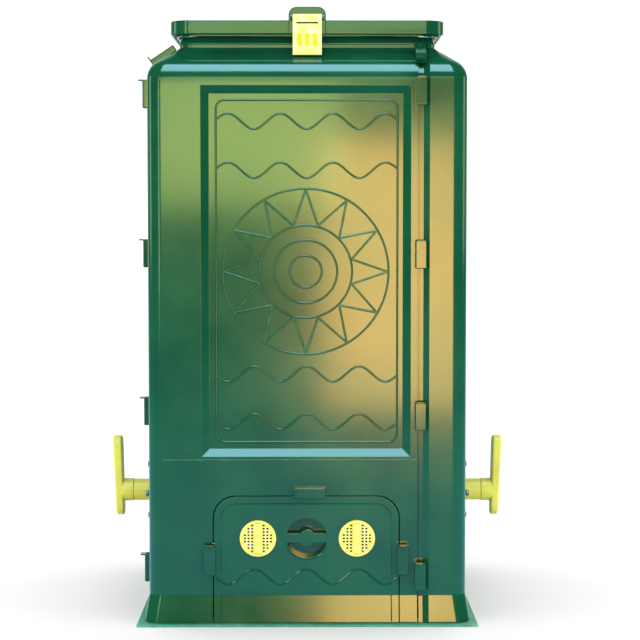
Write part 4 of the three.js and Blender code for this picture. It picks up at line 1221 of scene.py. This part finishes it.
def lever_model(name):
    """The right lever: hub, and a bar that leans away from the bin and thickens towards its top."""
    low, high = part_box("right_lever")
    inner = low.x + LEVER_HUB_LENGTH
    outer_low, outer_high = inner + 15 * MM, high.x
    inner_high = inner + 4 * MM
    bar = block(name, (inner, -LEVER_HALF, low.z), (outer_low, LEVER_HALF, high.z))
    with Editing(bar, "VERT") as edit:
        edit.pick(lambda corner: corner.co.z > SHAFT_Z and corner.co.x > inner + 5 * MM)
        bpy.ops.transform.translate(value=(outer_high - outer_low, 0, 0))
        edit.pick(lambda corner: corner.co.z > SHAFT_Z and corner.co.x < inner + 5 * MM)
        bpy.ops.transform.translate(value=(inner_high - inner, 0, 0))
    with Editing(bar, "EDGE") as edit:
        edit.pick(lambda edge: abs(edge.verts[0].co.x - edge.verts[1].co.x) > 10 * MM)
        bpy.ops.mesh.bevel(offset=19 * MM, segments=12, profile=0.5)
    rounded(bar, 4 * MM, 4, 50)
    hub = rod("hub", "X", LEVER_HUB_RADIUS, low.x, inner + 3 * MM, (0, SHAFT_Z), 64)
    cut(bar, rounded(hub, 1.5 * MM, 3, 50), "UNION")
    screw_hole = END_SCREW_RADIUS + 0.3 * MM
    cut(bar, rod("screw_hole", "X", screw_hole, inner + 9.8 * MM, high.x + 9 * MM, (0, SHAFT_Z), 40))
    cut(bar, rod("bore", "X", LEVER_BORE, low.x - 9 * MM, inner + 7.5 * MM, (0, SHAFT_Z), 48))
    return smooth(bar)


class COMPOSTER_OT_levers(bpy.types.Operator):
    """Build the two levers and their sleeves"""

    bl_idname = "composter.levers"
    bl_label = "Levers"

    def execute(self, context):
        yellow = material_for("lemon_plastic")
        lever = lever_model("lever_model")
        low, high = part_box("right_lever_sleeve")
        sleeve = rod("sleeve_model", "X", high.z - SHAFT_Z, low.x, high.x, (0, SHAFT_Z), 64)
        cut(sleeve, rod("bore", "X", LEVER_BORE, low.x - 9 * MM, high.x + 9 * MM, (0, SHAFT_Z), 48))
        smooth(rounded(sleeve, 1.2 * MM, 3, 40))
        for name, turn in (("right", 0), ("left", math.pi)):
            place = Matrix.Rotation(turn, 4, "Z")
            bar = copied(lever, f"{name}_mixing_lever", place)
            finished(bar, "mixer", "lever_yellow", yellow, f"{name}_lever")
            ring = copied(sleeve, f"{name}_sleeve", place)
            finished(ring, "mixer", "lever_yellow", yellow, f"{name}_lever_sleeve")
        bpy.data.objects.remove(lever)
        bpy.data.objects.remove(sleeve)
        return {"FINISHED"}


def flange_model(name):
    """The right bearing flange with its boss, screw bosses and ribs."""
    wall = WALL_HALF + 0.3 * MM
    outer = WALL_HALF + FLANGE_REACH
    at = (0, SHAFT_Z)
    centre = Vector((0, 0, SHAFT_Z))
    plate = rod(name, "X", FLANGE_RADIUS, wall, WALL_HALF + 7 * MM, at, 72)
    for turn in range(FLANGE_RIBS):
        angle = (turn + 0.5) * 2 * math.pi / FLANGE_RIBS
        rib_low = (wall + 2 * MM, 24 * MM, SHAFT_Z - 2 * MM)
        rib = block("rib", rib_low, (WALL_HALF + 14 * MM, 58 * MM, SHAFT_Z + 2 * MM))
        turned = Matrix.Translation(centre) @ Matrix.Rotation(angle, 4, "X") @ Matrix.Translation(-centre)
        rib.data.transform(turned)
        cut(plate, rib, "UNION")
    cut(plate, rod("boss", "X", FLANGE_BOSS_RADIUS, wall + 1 * MM, outer, at, 56), "UNION")
    for screw in range(SCREW_COUNT):
        angle = screw / SCREW_COUNT * 2 * math.pi
        y = SCREW_CIRCLE_RADIUS * math.sin(angle)
        z = SHAFT_Z - SCREW_CIRCLE_RADIUS * math.cos(angle)
        cut(plate, rod("screw_boss", "X", SCREW_BOSS_RADIUS, wall + 1 * MM, outer, (y, z), 32), "UNION")
    cut(plate, rod("bore", "X", BUSH_HOLE_RADIUS, 0.25, 0.35, at, 56))
    return smooth(rounded(plate, 1.0 * MM, 2, 40))


def screw_model(name, radius, height):
    """A screw head at the origin, standing out along +X, with a cross recess."""
    head = rod(name, "X", radius, 0, height, (0, 0), 32)
    with Editing(head) as edit:
        edit.pick(lambda face: face.normal.x > 0.9)
        bpy.ops.mesh.inset(thickness=radius * 0.35, depth=0)
    rounded(head, height * 0.35, 4, 50)
    for turn in (0, QUARTER):
        length_half, width_half = radius * 0.5, radius * 0.1
        low = (height * 0.45, -length_half, -width_half)
        bar = block("recess", low, (height * 1.5, length_half, width_half))
        bar.data.transform(Matrix.Rotation(turn, 4, "X"))
        cut(head, bar)
    return smooth(head)


class COMPOSTER_OT_flanges(bpy.types.Operator):
    """Build the bearing flanges and the heads of all screws"""

    bl_idname = "composter.flanges"
    bl_label = "Flanges and screws"

    def execute(self, context):
        flange = flange_model("flange_model")
        head = screw_model("screw_model", SCREW_RADIUS, SCREW_HEIGHT)
        end_head = screw_model("end_screw_model", END_SCREW_RADIUS, END_SCREW_HEIGHT)
        for name, turn in (("right", 0), ("left", math.pi)):
            place = Matrix.Rotation(turn, 4, "Z")
            plate = copied(flange, f"{name}_flange", place)
            finished(plate, "root", "body_green", material_for("moulded_green"), f"{name}_bearing_flange")
            for number in range(1, SCREW_COUNT + 1):
                node = f"{name}_flange_screw_{number}"
                low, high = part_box(node)
                middle = (low + high) / 2
                outwards_by = Matrix.Translation((WALL_HALF + FLANGE_REACH + 0.3 * MM, 0, 0))
                seat = Matrix.Translation((0, middle.y, middle.z)) @ place @ outwards_by
                screw = copied(head, f"{name}_screw_head_{number}", seat)
                finished(screw, "root", "steel", material_for("plated_steel"), node)
            screw_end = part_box("right_lever_screw")[1].x
            seat = place @ Matrix.Translation((screw_end - END_SCREW_HEIGHT, 0, SHAFT_Z))
            screw = copied(end_head, f"{name}_end_screw", seat)
            finished(screw, "mixer", "steel", material_for("plated_steel"), f"{name}_lever_screw")
        for model in (flange, head, end_head):
            bpy.data.objects.remove(model)
        return {"FINISHED"}


class COMPOSTER_OT_base(bpy.types.Operator):
    """Build the perforated base grid"""

    bl_idname = "composter.base"
    bl_label = "Base grid"

    def execute(self, context):
        shape = context.scene.composter_shape
        side = BASE_HIGH.x - BASE_LOW.x
        cells = round(side / shape.hole_pitch)
        bpy.ops.object.select_all(action="DESELECT")
        bpy.ops.mesh.primitive_grid_add(
            x_subdivisions=cells, y_subdivisions=cells, size=side, location=(0, 0, BASE_THICKNESS)
        )
        grid = made("base_plate")
        border = side / 2 - shape.hole_pitch
        with Editing(grid) as edit:
            edit.pick(lambda face: abs(middle_of(face).x) < border and abs(middle_of(face).y) < border)
            bpy.ops.mesh.inset(thickness=shape.hole_pitch * 0.24, depth=0, use_individual=True)
            bpy.ops.mesh.delete(type="FACE")
        modify(grid, "SOLIDIFY", thickness=BASE_THICKNESS, offset=-1.0)
        inner = BASE_RIB_HALF - BASE_RIB_THICKNESS
        outer_heights = (BASE_THICKNESS - 1 * MM, 12 * MM)
        rib = rounded_tower("rib", [(BASE_RIB_HALF, height) for height in outer_heights], 19 * MM)
        cut(rib, rounded_tower("rib_inside", [(inner, 0), (inner, 20 * MM)], 15 * MM))
        whole = smooth(joined("base_plate", [grid, rounded(rib, 0.8 * MM, 2, 40)]))
        finished(whole, "root", "grid_green", material_for("grid_green_plastic"), "base_grid")
        return {"FINISHED"}


class COMPOSTER_OT_inner_works(bpy.types.Operator):
    """Give the shaft, tines, bushes and pins their finishes"""

    bl_idname = "composter.inner_works"
    bl_label = "Inner works"

    def execute(self, context):
        finishes = {
            "steel": material_for("plated_steel"),
            "bush_grey": material_for("bush_plastic"),
            "body_green": material_for("moulded_green"),
            "lever_yellow": material_for("lemon_plastic"),
            "grid_green": material_for("grid_green_plastic"),
        }
        slots = {part["node"]: part["material_slot"] for part in frame["record"]["subparts"]}
        for name, node in frame["nodes"].items():
            node.data.materials.clear()
            node.data.materials.append(finishes[slots[name]])
        return {"FINISHED"}


# ---------------------------------------------------------------- stage


PANEL_Y = -WALL_HALF - PANEL_DISTANCE

# Name, place, target, size, power and tint of each panel.
SOFT_LIGHTS = (
    ("warm_panel", (0.36, PANEL_Y, 0.55), (0.1, -WALL_HALF, 0.6), (0.62, 0.95), 20, (1.0, 0.58, 0.16)),
    ("leaf_panel", (-0.28, PANEL_Y, 1.04), (-0.1, -WALL_HALF, 0.9), (0.8, 0.5), 6.5, (0.86, 1.0, 0.25)),
    ("rim_panel", (0.05, PANEL_Y, 1.46), (0, -WALL_HALF, 1.1), (1.4, 0.2), 3.0, (0.75, 1.0, 0.4)),
    ("left_strip", (-1.6, PANEL_Y, 1.1), (0, -WALL_HALF, 0.8), (0.34, 1.3), 7, (0.88, 1.0, 0.55)),
    ("sky_panel", (0, -1.6, 3.3), (0, -0.27, 1.0), (1.5, 2.0), 70, (0.4, 0.8, 1.0)),
    ("left_side", (-3.6, 0.3, 1.2), (0, 0.1, 0.6), (1.0, 1.2), 7, (0.9, 1.0, 0.6)),
    ("right_side", (3.6, 0.3, 1.2), (0, 0.1, 0.6), (1.0, 1.2), 7, (1.0, 0.9, 0.6)),
    ("rear_side", (0.4, 3.8, 1.2), (0, 0, 0.6), (1.2, 1.2), 9, (0.9, 1.0, 0.7)),
)

# What shiny surfaces mirror, from straight down to straight up.
MIRRORED_BANDS = (
    (0.0, (0.01, 0.12, 0.18)),
    (0.36, (0.1, 0.4, 0.6)),
    (0.415, (0.3, 0.8, 1.1)),
    (0.445, (0.08, 0.4, 0.4)),
    (0.48, (0.0, 0.1, 0.08)),
    (0.56, (0.0, 0.15, 0.08)),
    (1.0, (0.0, 0.14, 0.08)),
)
MIRRORED_BEHIND = (0.62, 0.85, 0.82, 1.0)


def soft_light(name, place, target, size, power, tint):
    """A panel that faces a target and shows only as a soft reflection."""
    bpy.ops.object.select_all(action="DESELECT")
    bpy.ops.object.light_add(type="AREA", location=place)
    light = bpy.context.object
    light.name = name
    light.rotation_euler = (Vector(target) - Vector(place)).to_track_quat("-Z", "Y").to_euler()
    light.data.shape = "RECTANGLE"
    light.data.size, light.data.size_y = size
    light.data.energy = power
    light.data.color = tint
    light.visible_camera = False
    light.visible_diffuse = False
    return light


def studio_world(scene):
    """A white studio, which shiny surfaces see as dark green with a teal foot and a pale back."""
    world = bpy.data.worlds.new("studio")
    scene.world = world
    world.use_nodes = True
    nodes, links = world.node_tree.nodes, world.node_tree.links
    white = nodes["Background"]
    white.inputs["Color"].default_value = (1.3, 1.3, 1.3, 1.0)
    apart = nodes.new("ShaderNodeSeparateXYZ")
    links.new(nodes.new("ShaderNodeTexCoord").outputs["Generated"], apart.inputs["Vector"])
    bands = nodes.new("ShaderNodeValToRGB")
    ramp = bands.color_ramp
    for place, tint in MIRRORED_BANDS[1:-1]:
        ramp.elements.new(place).color = (*tint, 1.0)
    ramp.elements[0].color = (*MIRRORED_BANDS[0][1], 1.0)
    ramp.elements[-1].color = (*MIRRORED_BANDS[-1][1], 1.0)
    links.new(ranged(nodes, links, apart.outputs["Z"], -1.0, 1.0, 0.0, 1.0), bands.inputs["Fac"])
    behind = ranged(nodes, links, apart.outputs["Y"], 0.55, 0.95, 0.0, 1.0)
    tint = mixed(nodes, links, behind, bands.outputs["Color"], MIRRORED_BEHIND)
    mirrored = nodes.new("ShaderNodeBackground")
    links.new(tint, mirrored.inputs["Color"])
    choose = nodes.new("ShaderNodeMixShader")
    links.new(nodes.new("ShaderNodeLightPath").outputs["Is Glossy Ray"], choose.inputs["Fac"])
    links.new(white.outputs["Background"], choose.inputs[1])
    links.new(mirrored.outputs["Background"], choose.inputs[2])
    links.new(choose.outputs["Shader"], nodes["World Output"].inputs["Surface"])


class COMPOSTER_OT_stage(bpy.types.Operator):
    """Build the floor, the soft studio light and the camera"""

    bl_idname = "composter.stage"
    bl_label = "Stage"

    def execute(self, context):
        colours = context.scene.composter_colours
        bpy.ops.object.select_all(action="DESELECT")
        bpy.ops.mesh.primitive_plane_add(size=60, location=(0, 0, -0.2 * MM))
        floor = made("pale_floor")
        surface = bpy.data.materials.new("pale_floor")
        surface.use_nodes = True
        shader = surface.node_tree.nodes["Principled BSDF"]
        shader.inputs["Base Color"].default_value = (*colours.floor, 1.0)
        shader.inputs["Roughness"].default_value = 0.9
        shader.inputs["Specular IOR Level"].default_value = 0.1
        floor.data.materials.append(surface)
        floor.visible_glossy = False

        context.scene.view_settings.view_transform = "Standard"
        studio_world(context.scene)
        for name, place, target, size, power, tint in SOFT_LIGHTS:
            soft_light(name, place, target, size, power, tint)

        bpy.ops.object.camera_add(location=(0.0, -WALL_HALF - CAMERA_DISTANCE, CAMERA_HEIGHT))
        camera = context.object
        camera.name = "front_camera"
        camera.rotation_euler = (QUARTER - CAMERA_DIP, 0, -CAMERA_TURN)
        camera.data.sensor_width = 36
        camera.data.lens = CAMERA_LENS
        context.scene.camera = camera
        return {"FINISHED"}


# ---------------------------------------------------------------- panel, registration and main

STEPS = (
    COMPOSTER_OT_stage,
    COMPOSTER_OT_inner_works,
    COMPOSTER_OT_wall_panels,
    COMPOSTER_OT_door,
    COMPOSTER_OT_vents,
    COMPOSTER_OT_clips,
    COMPOSTER_OT_collar,
    COMPOSTER_OT_lid,
    COMPOSTER_OT_latch,
    COMPOSTER_OT_levers,
    COMPOSTER_OT_flanges,
    COMPOSTER_OT_base,
)


class COMPOSTER_PT_sidebar(bpy.types.Panel):
    """Sizes, colours and building steps of the composter"""

    bl_idname = "COMPOSTER_PT_sidebar"
    bl_label = "Garden composter"
    bl_space_type = "VIEW_3D"
    bl_region_type = "UI"
    bl_category = "Composter"

    def draw(self, context):
        for group in (context.scene.composter_shape, context.scene.composter_colours):
            box = self.layout.box()
            for key in group.__annotations__:
                box.prop(group, key)
        for step in STEPS:
            self.layout.operator(step.bl_idname)


CLASSES = (ComposterShape, ComposterColours, *STEPS, COMPOSTER_PT_sidebar)


def register():
    for cls in CLASSES:
        bpy.utils.register_class(cls)
    bpy.types.Scene.composter_shape = bpy.props.PointerProperty(type=ComposterShape)
    bpy.types.Scene.composter_colours = bpy.props.PointerProperty(type=ComposterColours)


def unregister():
    del bpy.types.Scene.composter_colours
    del bpy.types.Scene.composter_shape
    for cls in reversed(CLASSES):
        bpy.utils.unregister_class(cls)


def main():
    register()
    for step in STEPS:
        family, name = step.bl_idname.split(".")
        getattr(getattr(bpy.ops, family), name)()


if __name__ == "__main__":
    main()
